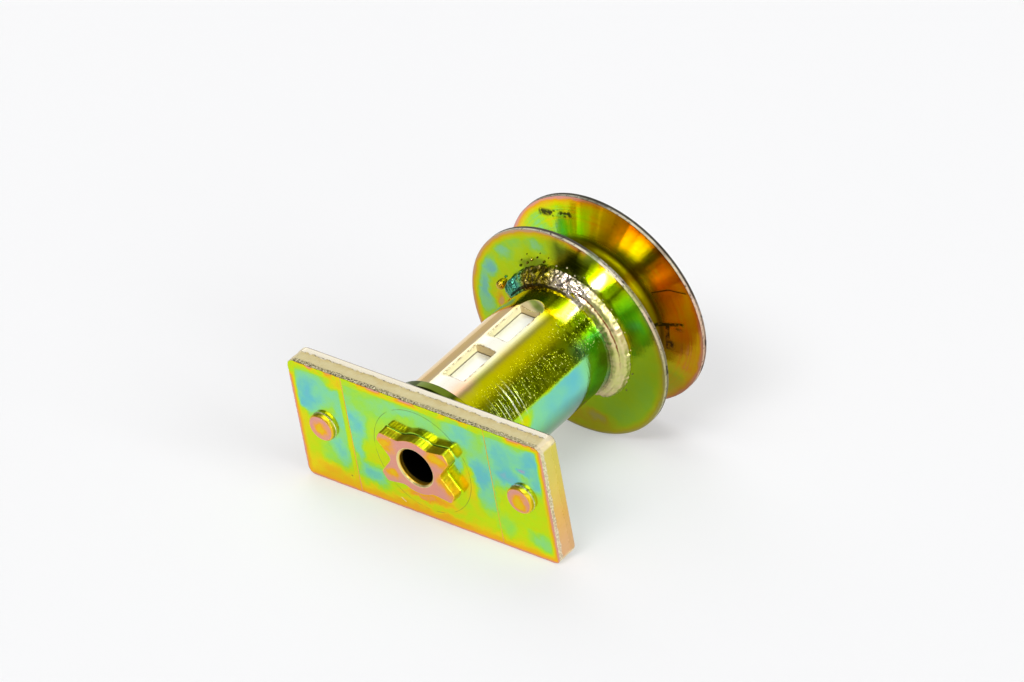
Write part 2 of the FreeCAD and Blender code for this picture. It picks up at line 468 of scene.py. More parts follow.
# %% Sleeve's outside
CRANK_BORE_R = 12.75
PLATE_THICK = 6.8
COLLAR_R = 18.35
COLLAR_TOP = 9.4
KEY_WIDTH = 6.35
KEY_LENGTH = 13.5
KEY_STARTS = (15.8, 34.05)
KEY_DEPTH = 2.45
KEY_TURN = -2.0
KEY_CORNER_R = 0.6
KEY_WALL = 0.3
SCOOP_R = 6.0
SCOOP_DEPTH = 1.05
NET_HALF = 4.6
NET_START = 13.0
NET_END = 52.6
NEAR_WALL = 0.55
FINE_STEP = 0.09
SIDE_COLUMNS = 200


def stretch(low, high, step):
    """Even places from low to high, both ends with it, no further apart than step."""
    count = max(1, math.ceil((high - low) / step))
    return [low + (high - low) * i / count for i in range(count + 1)]


def close_at(marks, low, high, near, fine, coarse):
    """Places from low to high, packed close round each mark."""
    edges = [low]
    for mark in marks:
        edges += [mark - near, mark + near]
    edges.append(high)
    places = []
    for i, (start, end) in enumerate(zip(edges, edges[1:])):
        places += stretch(start, end, fine if i % 2 else coarse)[:-1]
    return places + [high]


def inside_slot(x, along, start):
    """How far a point is inside one key's rounded outline. Outside it is negative."""
    half_x = KEY_WIDTH / 2 - KEY_CORNER_R
    half_s = KEY_LENGTH / 2 - KEY_CORNER_R
    dx = abs(x) - half_x
    ds = abs(along - start - KEY_LENGTH / 2) - half_s
    outside = math.hypot(max(dx, 0), max(ds, 0)) + min(max(dx, ds), 0)
    return KEY_CORNER_R - outside


def smooth(low, high, value):
    """0 below low, 1 above high and a smooth rise between, for plain numbers."""
    part = min(max((value - low) / (high - low), 0), 1)
    return part * part * (3 - 2 * part)


def outer_up(x, along):
    """How high the sleeve's outside is above the shaft, near its top."""
    wall = math.sqrt(SLEEVE_R ** 2 - x * x)
    up = wall
    for start in KEY_STARTS:
        depth = smooth(-KEY_WALL / 2, KEY_WALL / 2, inside_slot(x, along, start))
        roll = smooth(-0.9, 0.0, inside_slot(x, along, start)) * 0.07
        floor_up = SLEEVE_R - KEY_DEPTH
        up = min(up, wall * (1 - depth) + floor_up * depth - roll * (1 - depth))
    end = KEY_STARTS[-1] + KEY_LENGTH
    away = math.hypot(x, along - end)
    if away < SCOOP_R and along > end - 0.6:
        ball = SLEEVE_R + SCOOP_R - SCOOP_DEPTH - math.sqrt(SCOOP_R ** 2 - away * away)
        up = min(up, ball)
    return up


key_sides = (-KEY_WIDTH / 2, KEY_WIDTH / 2)
key_columns = close_at(key_sides, -NET_HALF, NET_HALF, NEAR_WALL, FINE_STEP, 0.5)
key_ends = [end for start in KEY_STARTS for end in (start, start + KEY_LENGTH)]
key_rows = close_at(key_ends, NET_START, NET_END, NEAR_WALL, FINE_STEP, 0.45)
side_angle = math.degrees(math.asin(key_columns[-1] / SLEEVE_R))
side_span = 360 - 2 * side_angle
side_angles = [90 - side_angle - side_span * (i + 1) / (SIDE_COLUMNS + 1) for i in range(SIDE_COLUMNS)]


def turned(x, up, degrees):
    """A place to the side and up, turned round the shaft."""
    turn = math.radians(degrees)
    return (x * math.cos(turn) - up * math.sin(turn), x * math.sin(turn) + up * math.cos(turn))


def sleeve_ring(along):
    """One ring of the sleeve's outside, with its pockets, turned to where the keys are."""
    points = [(x, outer_up(x, along)) for x in key_columns]
    points += [round_shaft(SLEEVE_R, angle, 0)[:2] for angle in side_angles]
    return [(*turned(x, up, KEY_TURN), along) for x, up in points]


print("sleeve net", len(key_columns) + len(side_angles), "columns,", len(key_rows), "rows")

# %% [markdown]
# The bore has the same columns as the outside, so the two join at the sleeve's ends without a
# seam. Where the punch pushed the wall in, the key stands up in the bore. Keys drawn as blocks of their
# own would be simpler, but they would have to be merged into a curved wall.

# %% Sleeve
def scaled_ring(radius, along):
    """A plain ring with the same columns as the sleeve's outside."""
    return [(x * radius / math.hypot(x, up), up * radius / math.hypot(x, up), along)
            for x, up, _ in sleeve_ring(0)]


def bore_points(along):
    """One ring of the bore, with the keys that the punch raised."""
    points = []
    for x, up, _ in sleeve_ring(0):
        x, up = turned(x, up, -KEY_TURN)
        size = CRANK_BORE_R / math.hypot(x, up)
        x, up = x * size, up * size
        for start in KEY_STARTS:
            raised = smooth(-KEY_WALL / 2, KEY_WALL / 2, inside_slot(x, along, start))
            if up > 0:
                up = up * (1 - raised) + (CRANK_BORE_R - KEY_DEPTH) * raised
        points.append((*turned(x, up, KEY_TURN), along))
    return points


sleeve_skin = Skin()
foot_outline = eased([
    (COLLAR_R - 1.5, PLATE_THICK, 0), (COLLAR_R, PLATE_THICK, 0.3), (COLLAR_R, COLLAR_TOP, 0.3),
    (SLEEVE_R, COLLAR_TOP, 0.3), (SLEEVE_R, COLLAR_TOP + 1, 0),
])[1:]
sleeve_rings = [sleeve_skin.ring(scaled_ring(radius, along)) for radius, along in foot_outline]
for along in key_rows:
    sleeve_rings.append(sleeve_skin.ring(sleeve_ring(along)))
end_outline = eased([
    (SLEEVE_R, SLEEVE_END - 3, 0), (SLEEVE_R, SLEEVE_END, 0.4), (CRANK_BORE_R, SLEEVE_END, 0.8),
    (CRANK_BORE_R, SLEEVE_END - 2, 0),
])
for radius, along in end_outline:
    sleeve_rings.append(sleeve_skin.ring(scaled_ring(radius, along)))
sleeve_skin.tube(sleeve_rings)
bore_rings = [sleeve_rings[-1]]
for along in stretch(PLATE_THICK, SLEEVE_END - 2, 0.5)[-2::-1]:
    bore_rings.append(sleeve_skin.ring(bore_points(along)))
sleeve_skin.tube(bore_rings)
sleeve_skin.bridge(bore_rings[-1], sleeve_rings[0])
sleeve = sleeve_skin.piece("keyed_sleeve", "zinc_sleeve", "drive_sleeve")

# %% [markdown]
# The star on the plate has four lobes round a hub, an outline that would take many arcs to draw
# again. It is read off the frame's own solid instead, so the two can't differ. The solid gives it in
# facets of many lengths, so it is evened out to short steps, which lets its curved walls shade
# smoothly.

# %% Outlines
def solid_outlines(node, along):
    """The closed outlines of a solid's flat face at this height, longest first."""
    solid = bmesh.new()
    solid.from_mesh(frame["nodes"][node].data)
    rims = {}
    for face in solid.faces:
        heights = [(vert.co - FOOT).dot(ALONG) / MM for vert in face.verts]
        if max(abs(height - along) for height in heights) > 0.004:
            continue
        for edge in face.edges:
            key = frozenset(rounded_point(vert) for vert in edge.verts)
            rims[key] = rims.get(key, 0) + 1
    solid.free()
    links = {}
    for key, uses in rims.items():
        if uses == 1 and len(key) == 2:
            a, b = sorted(key)
            links.setdefault(a, []).append(b)
            links.setdefault(b, []).append(a)
    outlines = []
    while links:
        start = min(links)
        outline, here, before = [start], links[start][0], start
        while here != start:
            outline.append(here)
            onward = links[here][0] if links[here][0] != before else links[here][1]
            before, here = here, onward
        for point in outline:
            links.pop(point, None)
        outlines.append(outline)
    return sorted(outlines, key=length_round, reverse=True)


def rounded_point(vert):
    """Where a point is to the side and up, rounded so that equal points match."""
    offset = (vert.co - FOOT) / MM
    return (round(offset.dot(SIDE), 4), round(offset.dot(UP), 4))


def length_round(outline):
    """How long a closed outline is."""
    return sum(math.dist(a, b) for a, b in zip(outline, outline[1:] + outline[:1]))


def evened(outline, step, soften):
    """The outline in even short steps, its facets softened, running against the clock."""
    count = round(length_round(outline) / step)
    spacing = length_round(outline) / count
    points, travelled, target = [], 0.0, 0.0
    for a, b in zip(outline, outline[1:] + outline[:1]):
        span = math.dist(a, b)
        while target < travelled + span and len(points) < count:
            part = (target - travelled) / span
            points.append((a[0] + (b[0] - a[0]) * part, a[1] + (b[1] - a[1]) * part))
            target += spacing
        travelled += span
    for _ in range(soften):
        points = [((points[i - 1][0] + 2 * x + points[(i + 1) % count][0]) / 4,
                   (points[i - 1][1] + 2 * y + points[(i + 1) % count][1]) / 4)
                  for i, (x, y) in enumerate(points)]
    area = sum(a[0] * b[1] - b[0] * a[1] for a, b in zip(points, points[1:] + points[:1]))
    return points if area > 0 else points[::-1]


def grown(outline, amount):
    """The outline moved outwards by an amount, or by one amount for each point."""
    count = len(outline)
    moved = []
    for i, (x, y) in enumerate(outline):
        ax, ay = outline[i - 1]
        bx, by = outline[(i + 1) % count]
        size = math.hypot(bx - ax, by - ay)
        out = amount[i] if isinstance(amount, list) else amount
        moved.append((x + (by - ay) / size * out, y - (bx - ax) / size * out))
    return moved


def circle(x, radius, count):
    """An even outline round a middle that is x to the side."""
    return [(x + radius * math.cos(math.tau * i / count), radius * math.sin(math.tau * i / count))
            for i in range(count)]


def levels(skin, outline, steps):
    """A stack of rings from one outline. Each step is a height and how far it is grown."""
    return [skin.ring([(x, up, along) for x, up in grown(outline, out)]) for along, out in steps]


star_outline = evened(solid_outlines("blade_plate", -3.1)[0], 0.22, 3)
print("star outline", round(length_round(star_outline), 1), "mm round,", len(star_outline), "points")

# %% [markdown]
# The plate is a length of sheared bar. Shearing leaves three bands along its edges: a soft rolled
# edge at the back, a bright band where the blade slid past, and a torn grey band that ends in
# a burr at the front. The star, the pegs and the hollows behind them were pressed. All of it is
# made of rings that are moved in or out a little at each height. Bevels would give every edge the
# same width, and a pressed edge is soft at its foot and sharper at its top.

# %% Plate
PLATE_LENGTH = 83.0
PLATE_WIDTH = 37.0
PLATE_CORNER_R = 2.2
ROLLED_EDGE_R = 1.0
TORN_BAND_END = 4.35
STAR_HEIGHT = 3.1
STAR_SINK_DEPTH = 2.9
STAR_SINK_GAP = 0.3
BOLT_HOLE_R = 5.35
PEG_X = 32.5
PEG_R = 4.0
PEG_HEIGHT = 1.6
PEG_SINK_DEPTH = 1.4

bar_corners = [
    (sx * PLATE_LENGTH / 2, sy * PLATE_WIDTH / 2, PLATE_CORNER_R)
    for sx, sy in ((-1, -1), (1, -1), (1, 1), (-1, 1))
]
bar_outline = evened(eased(bar_corners, 12), 0.36, 2)


def torn(outline, along, size):
    """How far each point of the edge stands out where the steel tore, by a fixed noise."""
    return [size * noise.noise(Vector((x * 1.6, up * 1.6, along * 1.1))) for x, up in outline]


plate_skin = Skin()
bar_rings = []
for along, out, size in (
    (0.0, -0.34, 0.05), (0.02, -0.16, 0.1), (0.14, -0.04, 0.16), (0.32, 0.0, 0.2),
    (0.55, -0.05, 0.22), (0.8, -0.02, 0.18), (1.1, -0.06, 0.14), (1.5, -0.05, 0.1),
    (2.2, -0.06, 0.1), (3.0, -0.07, 0.1), (3.8, -0.09, 0.1), (TORN_BAND_END - 0.15, -0.1, 0.1),
    (TORN_BAND_END, -0.02, 0.03), (4.8, 0.0, 0.0), (5.4, 0.0, 0.0),
):
    amounts = [min(out + wave, 0.0) for wave in torn(bar_outline, along, size)]
    bar_rings += levels(plate_skin, bar_outline, [(along, amounts)])
for degrees in range(0, 105, 15):
    turn = math.radians(degrees)
    along = PLATE_THICK - ROLLED_EDGE_R * (1 - math.sin(turn))
    bar_rings += levels(plate_skin, bar_outline, [(along, -ROLLED_EDGE_R * (1 - math.cos(turn)))])
plate_skin.tube(bar_rings)

star_rings = levels(plate_skin, star_outline, [
    (0.0, 0.8), (-0.015, 0.55), (-0.06, 0.34), (-0.16, 0.18), (-0.36, 0.07), (-0.7, 0.03),
    (-1.6, 0.02), (-STAR_HEIGHT + 0.3, 0.0), (-STAR_HEIGHT + 0.13, -0.04),
    (-STAR_HEIGHT + 0.04, -0.13), (-STAR_HEIGHT, -0.3),
])
plate_skin.tube(star_rings)
hole_outline = circle(0, BOLT_HOLE_R, 96)
sink_floor = PLATE_THICK - STAR_SINK_DEPTH
hole_rings = levels(plate_skin, hole_outline, [
    (-STAR_HEIGHT, 0.62), (-STAR_HEIGHT + 0.05, 0.5), (-STAR_HEIGHT + 0.45, 0.06),
    (-STAR_HEIGHT + 0.6, 0.0), (sink_floor - 0.1, 0.0), (sink_floor, 0.1),
])
plate_skin.tube(hole_rings)
plate_skin.cap(star_rings[-1], hole_rings[0])

sink_rings = levels(plate_skin, star_outline, [
    (PLATE_THICK, -STAR_SINK_GAP + 0.2), (PLATE_THICK - 0.1, -STAR_SINK_GAP + 0.04),
    (PLATE_THICK - 0.3, -STAR_SINK_GAP), (sink_floor, -STAR_SINK_GAP),
])
plate_skin.tube(sink_rings)
plate_skin.cap(sink_rings[-1], hole_rings[-1])

front_holes, back_holes = [star_rings[0]], [sink_rings[0]]
for side in (-1, 1):
    peg_rings = levels(plate_skin, circle(side * PEG_X, PEG_R, 72), [
        (0.0, 0.25), (-0.04, 0.12), (-0.16, 0.03), (-0.4, 0.0), (-PEG_HEIGHT + 0.5, 0.0),
        (-PEG_HEIGHT + 0.38, -0.06), (-PEG_HEIGHT + 0.08, -0.38), (-PEG_HEIGHT, -0.52),
    ])
    plate_skin.tube(peg_rings)
    plate_skin.cap(peg_rings[-1])
    front_holes.append(peg_rings[0])
    peg_sink = levels(plate_skin, circle(side * PEG_X, PEG_R - 0.1, 72), [
        (PLATE_THICK, 0.18), (PLATE_THICK - 0.1, 0.04), (PLATE_THICK - 0.25, 0.0),
        (PLATE_THICK - PEG_SINK_DEPTH, 0.0),
    ])
    plate_skin.tube(peg_sink)
    plate_skin.cap(peg_sink[-1])
    back_holes.append(peg_sink[0])
plate_skin.cap(bar_rings[0], *front_holes)
plate_skin.cap(bar_rings[-1], *back_holes)
plate = plate_skin.piece("pressed_plate", "zinc_plate", "blade_plate")

# %% [markdown]
# The weld was laid by hand over a little more than half of the way round. Each drop of metal froze
# as a small crescent over the last one, so the bead is rippled, and it starts in a lump and
# ends in a hollow. It is a net along the bead and across it, with the ripples, the lump and the
# hollow added to its height. Balls of spatter are half sunk in the steel round its start. A swept
# profile would be quicker, but it repeats itself, and a bead laid by hand never does.

# %% Weld
WELD_LEG_SLEEVE = 3.6
WELD_LEG_FACE = 3.8
WELD_CROWN = 0.75
WELD_START = 158.0
WELD_END = -66.0
WELD_STEP = 0.7
BEAD_STEPS = 22
WELD_SUNK = 0.15
ROUGH_FROM, ROUGH_TO = 48, 70
RIPPLE_PITCH = 4.6
SPATTER = (
    (22.0, 156.5, 1.3), (21.7, 147, 0.35), (22.2, 111, 0.42), (21.4, 117, 0.32), (22.8, 105, 0.25),
    (21.7, 100, 0.38), (23.2, 95, 0.2), (21.3, 125, 0.34), (22.6, 121, 0.22), (21.5, 89, 0.32),
    (22.4, 80, 0.24), (21.2, 73, 0.3), (22.8, 66, 0.2), (21.0, 47, 0.24), (21.3, 38, 0.2),
    (20.9, 30, 0.25), (21.1, 19, 0.2), (20.9, 4, 0.24), (21.0, -18, 0.22), (21.2, -37, 0.2),
    (23.9, 113, 0.18), (24.2, 101, 0.16),
)


def bead_point(angle, across):
    """A point of the bead. Across runs from 0 on the sleeve to 1 on the pulley's face."""
    hump = math.sin(math.pi * across)
    radius = SLEEVE_R - WELD_SUNK + (WELD_LEG_FACE + WELD_SUNK) * across
    along = PULLEY_FRONT + WELD_SUNK - (WELD_LEG_SLEEVE + WELD_SUNK) * (1 - across)
    bow = 2.2 * (across - 0.5) ** 2
    spat = smooth(ROUGH_FROM, ROUGH_TO, angle)
    ripple = math.cos(math.tau * (angle / RIPPLE_PITCH + bow)) * (0.03 + 0.04 * spat)
    rough = noise.noise(Vector((angle * 0.16, across * 3, 1.0))) * (0.16 + 0.5 * spat)
    rough += noise.noise(Vector((angle * 0.5, across * 7, 4.0))) * (0.05 + 0.34 * spat)
    ridges = (1 - 0.7 * spat) * 0.24 * math.cos(4 * math.pi * (across - 0.25))
    lump = math.exp(-((angle - WELD_START + 14) / 9) ** 2) * 0.9
    hollow = math.exp(-((angle - WELD_END - 6) / 4) ** 2) * -0.55
    ends = smooth(0, 7, WELD_START - angle) * smooth(0, 5, angle - WELD_END)
    height = (WELD_CROWN * (1 + ridges) + ripple + rough + lump + hollow) * hump
    toe = noise.noise(Vector((angle * 0.35, 9.0, across * 2))) * 0.45 * (1 - hump)
    size = math.hypot(WELD_LEG_SLEEVE, WELD_LEG_FACE)
    out_radius, out_along = WELD_LEG_SLEEVE / size, -WELD_LEG_FACE / size
    inner = 0.55 * hump * (1 - ends) * 4.2
    radius += out_radius * (height * ends - inner) + (toe if across > 0.5 else 0) * ends
    along += out_along * (height * ends - inner) + (toe if across <= 0.5 else 0) * ends
    return round_shaft(radius, angle, along)


def ball(skin, x, up, along, radius):
    """A small ball of rings, half sunk in the face behind it."""
    rings = []
    for step in range(1, 8):
        turn = math.pi * step / 8
        wide, deep = radius * math.sin(turn), radius * math.cos(turn)
        outline = circle(x, wide, 12)
        rings.append(skin.ring([(across, up + upwards, along + deep) for across, upwards in outline]))
    skin.tube(rings)
    skin.cap(rings[0])
    skin.cap(rings[-1])


weld_skin = Skin()
bead_rings = []
for angle in stretch(WELD_END, WELD_START, WELD_STEP):
    top = [bead_point(angle, i / BEAD_STEPS) for i in range(BEAD_STEPS + 1)]
    root = [round_shaft(SLEEVE_R - WELD_SUNK, angle, PULLEY_FRONT + WELD_SUNK)]
    bead_rings.append(weld_skin.ring(top + root))
weld_skin.tube(bead_rings)
weld_skin.cap(bead_rings[0])
weld_skin.cap(bead_rings[-1])

for radius, angle, size in SPATTER:
    x, up, _ = round_shaft(radius, angle, 0)
    ball(weld_skin, x, up, PULLEY_FRONT - size * 0.35, size)
weld = weld_skin.piece("rippled_weld", "zinc_weld", "pulley_weld")

# %% [markdown]
# Yellow-passivated zinc is a mirror under a film of chromate that is thinner than a wave of light.
# The film's thickness sets the colour, in a fixed order: straw, pink, orange, yellow, lime, green,
# teal and violet. So one ramp holds the colours, and each piece only says how thick its film is
# from place to place. Painting the colours straight on would lose that order at every border.
# Dirt, bare zinc and painted highlights and shade aren't film, so they are laid over it as coats of paint.

# %% Film of chromate
CREAM, STRAW, PINK, ORANGE, YELLOW = 0.0, 0.07, 0.16, 0.27, 0.38
LIME, GREEN, AQUA, TEAL, VIOLET = 0.52, 0.64, 0.76, 0.88, 1.0
FILM_COLOURS = [
    (CREAM, paint(232, 226, 196)),
    (STRAW, paint(218, 196, 152)),
    (PINK, paint(228, 156, 142)),
    (ORANGE, paint(244, 172, 22)),
    (YELLOW, paint(232, 214, 0)),
    (LIME, paint(196, 228, 0)),
    (GREEN, paint(158, 226, 78)),
    (AQUA, paint(134, 220, 162)),
    (TEAL, paint(106, 198, 204)),
    (VIOLET, paint(176, 164, 198)),
]


def film(thickness):
    """The colour of a film, from its thickness between 0 and 1."""
    return thickness.node("ShaderNodeValToRGB", {"stops": FILM_COLOURS}, {"Fac": thickness.held()})


def coated(colour, *coats):
    """A colour under coats of paint, each with its red, green and blue and how much it hides."""
    for red_green_blue, amount in coats:
        colour = colour.mixed(paint(*red_green_blue), amount)
    return colour


def new_material(name):
    """A zinc material with its shader, and a wire to start from."""
    material = bpy.data.materials.new(name)
    material.use_nodes = True
    shader = material.node_tree.nodes["Principled BSDF"]
    shader.inputs["Metallic"].default_value = 1.0
    return material, shader, Wire(material.node_tree)


def finish_metal(piece, material, shader, **wires):
    """Joins the wires to the shader's sockets and gives the piece its material."""
    tree = material.node_tree
    for name, wire in wires.items():
        tree.links.new(wire.socket, shader.inputs[name.replace("_", " ").title()])
    piece.data.materials.clear()
    piece.data.materials.append(material)
    print(material.name, len(tree.nodes), "nodes")


print("film colours", len(FILM_COLOURS))

# %% [markdown]
# A finish has to know where it is: which way round the shaft, how far out and how far along. Spot
# works that out once for each material, in millimetres, so that a stain can be placed with a ruler.
# Its patches share one noise that bends their outlines, because a noise for each would be slow.

# %% Places on the part
class Spot:
    """Where the shader is on the part, in millimetres in the shaft's own directions."""

    def __init__(self, start):
        here = start.node("ShaderNodeTexCoord", output="Object")
        offset = here.vector("SUBTRACT", tuple(FOOT))
        self.x = offset.vector("DOT_PRODUCT", tuple(SIDE / MM), output="Value")
        self.up = offset.vector("DOT_PRODUCT", tuple(UP / MM), output="Value")
        self.along = offset.vector("DOT_PRODUCT", tuple(ALONG / MM), output="Value")
        self.radius = (self.x * self.x + self.up * self.up).maths("SQRT")
        self.angle = self.up.maths("ARCTAN2", self.x) * math.degrees(1)
        self.around = (self.angle + 110).maths("FLOORED_MODULO", 360.0) - 110
        self.arc = self.around * (SLEEVE_R * math.radians(1))
        self.point = start.node("ShaderNodeCombineXYZ", None, {0: self.x, 1: self.up, 2: self.along})
        self.normal = start.node("ShaderNodeNewGeometry", output="Normal")
        self.facing = self.turned_to(-ALONG)
        self.hoop = offset.vector("CROSS_PRODUCT", tuple(ALONG)).vector("NORMALIZE")
        self.bend = self.cloud(0.22, 5.0, 31.0, 0.62) * 3.2
        self.sway = self.cloud(0.22, 5.0, 57.0, 0.62) * 3.2

    def turned_to(self, direction):
        """How squarely the surface faces a direction."""
        return self.normal.vector("DOT_PRODUCT", tuple(direction), output="Value")

    def cloud(self, scale, detail=2.0, shift=0.0, roughness=0.5, stretched=(1, 1, 1)):
        """Soft noise from about -1 to 1, stretched across, up and along if asked."""
        moved = self.point.vector("MULTIPLY", stretched).vector("ADD", (shift, shift * 0.7, shift * 1.3))
        settings = {"Vector": moved, "Scale": scale, "Detail": detail, "Roughness": roughness}
        return (self.point.node("ShaderNodeTexNoise", None, settings) - 0.5) * 2

    def streaks(self, round_scale, along_scale, detail=3.0, shift=0.0):
        """Noise unrolled from the sleeve, with its own scale round the shaft and along it."""
        sheet = {0: self.arc * round_scale + shift, 1: self.along * along_scale, 2: shift}
        unrolled = self.arc.node("ShaderNodeCombineXYZ", None, sheet)
        settings = {"Vector": unrolled, "Scale": 1.0, "Detail": detail, "Roughness": 0.6}
        return (self.arc.node("ShaderNodeTexNoise", None, settings) - 0.5) * 2

    def blot(self, x, up, wide, high, soft=0.75):
        """A soft patch with a bent outline on a flat face, 1 in its middle."""
        across = (self.x + self.bend - x) / wide
        upwards = (self.up + self.sway - up) / high
        return 1 - distance(across, upwards).rise(1 - soft, 1 + soft)

    def drum_blot(self, angle, along, wide, high, soft=0.75):
        """The same on the sleeve, placed by its angle and its height."""
        around = (self.around + self.bend * 3 - angle) / wide
        lengthwise = (self.along + self.sway - along) / high
        return 1 - distance(around, lengthwise).rise(1 - soft, 1 + soft)

    def line(self, x1, up1, x2, up2, half, soft):
        """A straight thin line on a flat face, from one point to another."""
        run = math.hypot(x2 - x1, up2 - up1)
        cx, cy = (x2 - x1) / run, (up2 - up1) / run
        ahead = (self.x - x1) * cx + (self.up - up1) * cy
        beside = (self.up - up1) * cx - (self.x - x1) * cy
        return beside.band(0.0, half, soft) * ahead.band(run / 2, run / 2, soft * 2)


def distance(across, upwards):
    """How far a place is from a middle, from its two offsets."""
    return (across * across + upwards * upwards).maths("SQRT")


def turning(wire, value, amount):
    """A wire turning into a value as the amount goes from 0 to 1."""
    return wire + (value - wire) * amount


def stained(spot, thick, stains):
    """A film with patches: each has a place, a width, a height and the film's colour there."""
    for x, up, wide, high, colour in stains:
        thick = turning(thick, colour, spot.blot(x, up, wide, high))
    return thick


print("places ready")

# %% [markdown]
# Fine relief is bump, since the eye reads it only from the light on it. A lathe leaves rings that
# are too fine to see, but they spread each reflection along the tool's way, and the tool's chatter
# rocks the surface from side to side, which breaks a reflection into spokes. Both tilt the normal
# here. Real grooves of that size would need millions of faces.

# %% Fine relief
FEED_TILT = 0.34
FEED_RINGS = 9.0
CHATTER_SPOKES = 0.13


def bump(height, normal=None):
    """A bump of this height in millimetres, over another normal if there is one."""
    values = {"Height": height, "Distance": MM, "Strength": 1.0}
    if normal:
        values["Normal"] = normal
    return height.node("ShaderNodeBump", None, values)


def noise_along(track, scale, detail, roughness=0.5):
    """Noise along one wire, from about -0.5 to 0.5."""
    values = {"W": track, "Scale": scale, "Detail": detail, "Roughness": roughness}
    return track.node("ShaderNodeTexNoise", {"noise_dimensions": "1D"}, values) - 0.5


def turned_normal(spot, chatter):
    """The normal of a turned surface, tilted by its rings and rocked by this much chatter."""
    feed = spot.hoop.vector("CROSS_PRODUCT", spot.normal)
    rings = noise_along(spot.radius + spot.along * 1.37, FEED_RINGS, 3.0, 0.7)
    spokes = noise_along(spot.angle, CHATTER_SPOKES, 3.0)
    rocked = spot.normal.vector("ADD", feed.scaled(rings * FEED_TILT))
    return rocked.vector("ADD", spot.hoop.scaled(spokes * chatter)).vector("NORMALIZE")


print("feed rings", FEED_RINGS, "to the millimetre")

# %% [markdown]
# On the plate the film drained down the face and dried: teal and green high up and at the
# sides, yellow low down, orange and then a thin pink line at every edge. A factory scribed one circle
# round the star and two lines beside it, and the film is thinner in the lines.

# %% Plate's film
PLATE_STAINS = (
    (0, -20, 60, 4.5, YELLOW - 0.05), (-33, -14, 7, 3, ORANGE + 0.06), (0, -17, 34, 1.6, ORANGE + 0.04),
    (-35.4, 9.6, 4.6, 5.5, TEAL), (-38.6, 5.2, 2.4, 3.0, TEAL), (-29.6, 11.6, 5, 3, AQUA),
    (-26.0, 15.4, 2.2, 2, YELLOW), (-26.2, 4.4, 2.0, 7, AQUA), (-28.4, -6.6, 3.4, 4.4, AQUA + 0.05),
    (-31.8, -9.0, 3, 3, GREEN), (-21.0, 6.4, 3.0, 7.5, TEAL - 0.03), (-19.5, 12, 3.4, 4, GREEN),
    (-18.2, -10.4, 4.4, 3.2, TEAL - 0.04), (-21.6, -3.5, 1.6, 4, AQUA),
    (-12.5, 12.6, 4.4, 3.4, GREEN + 0.04), (-3.0, 14.6, 7, 1.8, AQUA - 0.03),
    (3.6, 12.6, 5, 2.2, AQUA - 0.06), (14.6, 13.6, 4.6, 4, AQUA + 0.04),
    (12.6, 2.6, 1.8, 3.0, TEAL - 0.06), (19.4, 2.0, 4.0, 6.5, TEAL), (20.8, -5.0, 2.6, 4, AQUA),
    (27.0, 11.6, 4.4, 5.5, TEAL - 0.04), (33.4, 12.4, 5.0, 3.4, AQUA + 0.03),
    (37.6, 13.0, 2.6, 3.0, TEAL), (28.9, 4.6, 5.0, 3.2, TEAL + 0.02),
    (34.6, 9.3, 2.0, 1.1, TEAL + 0.09), (38.2, 6.6, 2.2, 3.6, TEAL - 0.04),
    (25.6, -11.6, 2.4, 3.4, GREEN), (36.6, -13.2, 4, 2.6, AQUA - 0.06), (14.8, -2.0, 2.2, 5.5, YELLOW),
    (3.6, -11.4, 7, 1.6, ORANGE + 0.04), (-2.4, -12.2, 6, 1.1, ORANGE - 0.04),
    (-39, -1.4, 2, 3.5, YELLOW + 0.04),
)
STAR_STAINS = (
    (-9.0, 4.4, 2.2, 2.0, ORANGE + 0.05), (7.6, 5.2, 3.2, 2.0, ORANGE + 0.05),
    (10.2, -2.2, 2.6, 2.6, ORANGE + 0.05), (-8, -5, 2, 1.6, ORANGE + 0.05),
)
SCORES = (-23.6, 23.07)

material, shader, start = new_material("plate_zinc")
spot = Spot(start)
thick = LIME - 0.03 + spot.up.rise(-7, 9) * 0.09 + spot.cloud(0.09, 3.0, 3.0) * 0.10
thick = stained(spot, thick, PLATE_STAINS) + spot.cloud(0.5, 4.0, 5.0) * 0.05
from_end = PLATE_LENGTH / 2 - spot.x.maths("ABSOLUTE")
from_side = PLATE_WIDTH / 2 - spot.up.maths("ABSOLUTE")
inset = from_end.least(from_side) + spot.cloud(0.35, 3.0) * 0.35
faded = spot.up.rise(13, 15.5) * spot.cloud(0.16, 2.0, 44.0).rise(-0.25, 0.15) * 0.8
thick = turning(PINK + inset.rise(0.3, 1.1) * 0.14, thick, inset.rise(0.9, 2.5).most(faded))

on_flat = spot.along.band(0.0, 0.2, 0.1)
score = spot.x.band(SCORES[0], 0.08, 0.12).most(spot.x.band(SCORES[1], 0.05, 0.10)) * on_flat
beside_score = spot.x.band(SCORES[0] - 0.8, 0.3, 0.9) * 0.45
thick = turning(thick, ORANGE + 0.02, beside_score)
thick = turning(thick, PINK, score * 0.8)

raised = spot.along.maths("MULTIPLY", -1.0).rise(0.25, 0.5)
on_top = spot.facing.rise(0.9, 0.97)
boss = stained(spot, PINK + spot.cloud(0.3, 3.0, 11.0) * 0.03, STAR_STAINS)
peg_x = spot.x.maths("ABSOLUTE") - PEG_X + spot.bend * 0.6
peg_up = spot.up + spot.sway * 0.8 + 0.4
boss = turning(boss, YELLOW - 0.05, 1 - distance(peg_x, peg_up).rise(0.8, 3.4))
boss_wall = ORANGE + 0.03 + spot.cloud(0.6, 3.0, 3.0) * 0.10
thick = turning(thick, turning(boss_wall, boss, on_top), raised)
print("plate stains", len(PLATE_STAINS), "star stains", len(STAR_STAINS))

# %% [markdown]
# The sheared edges took hardly any film: a speckled burr, a dull torn band and a bright burnished
# band, all of them pale. Their borders wander, because steel tears along its grain. A mask for each
# band is enough, since the plate's mesh already has the relief.

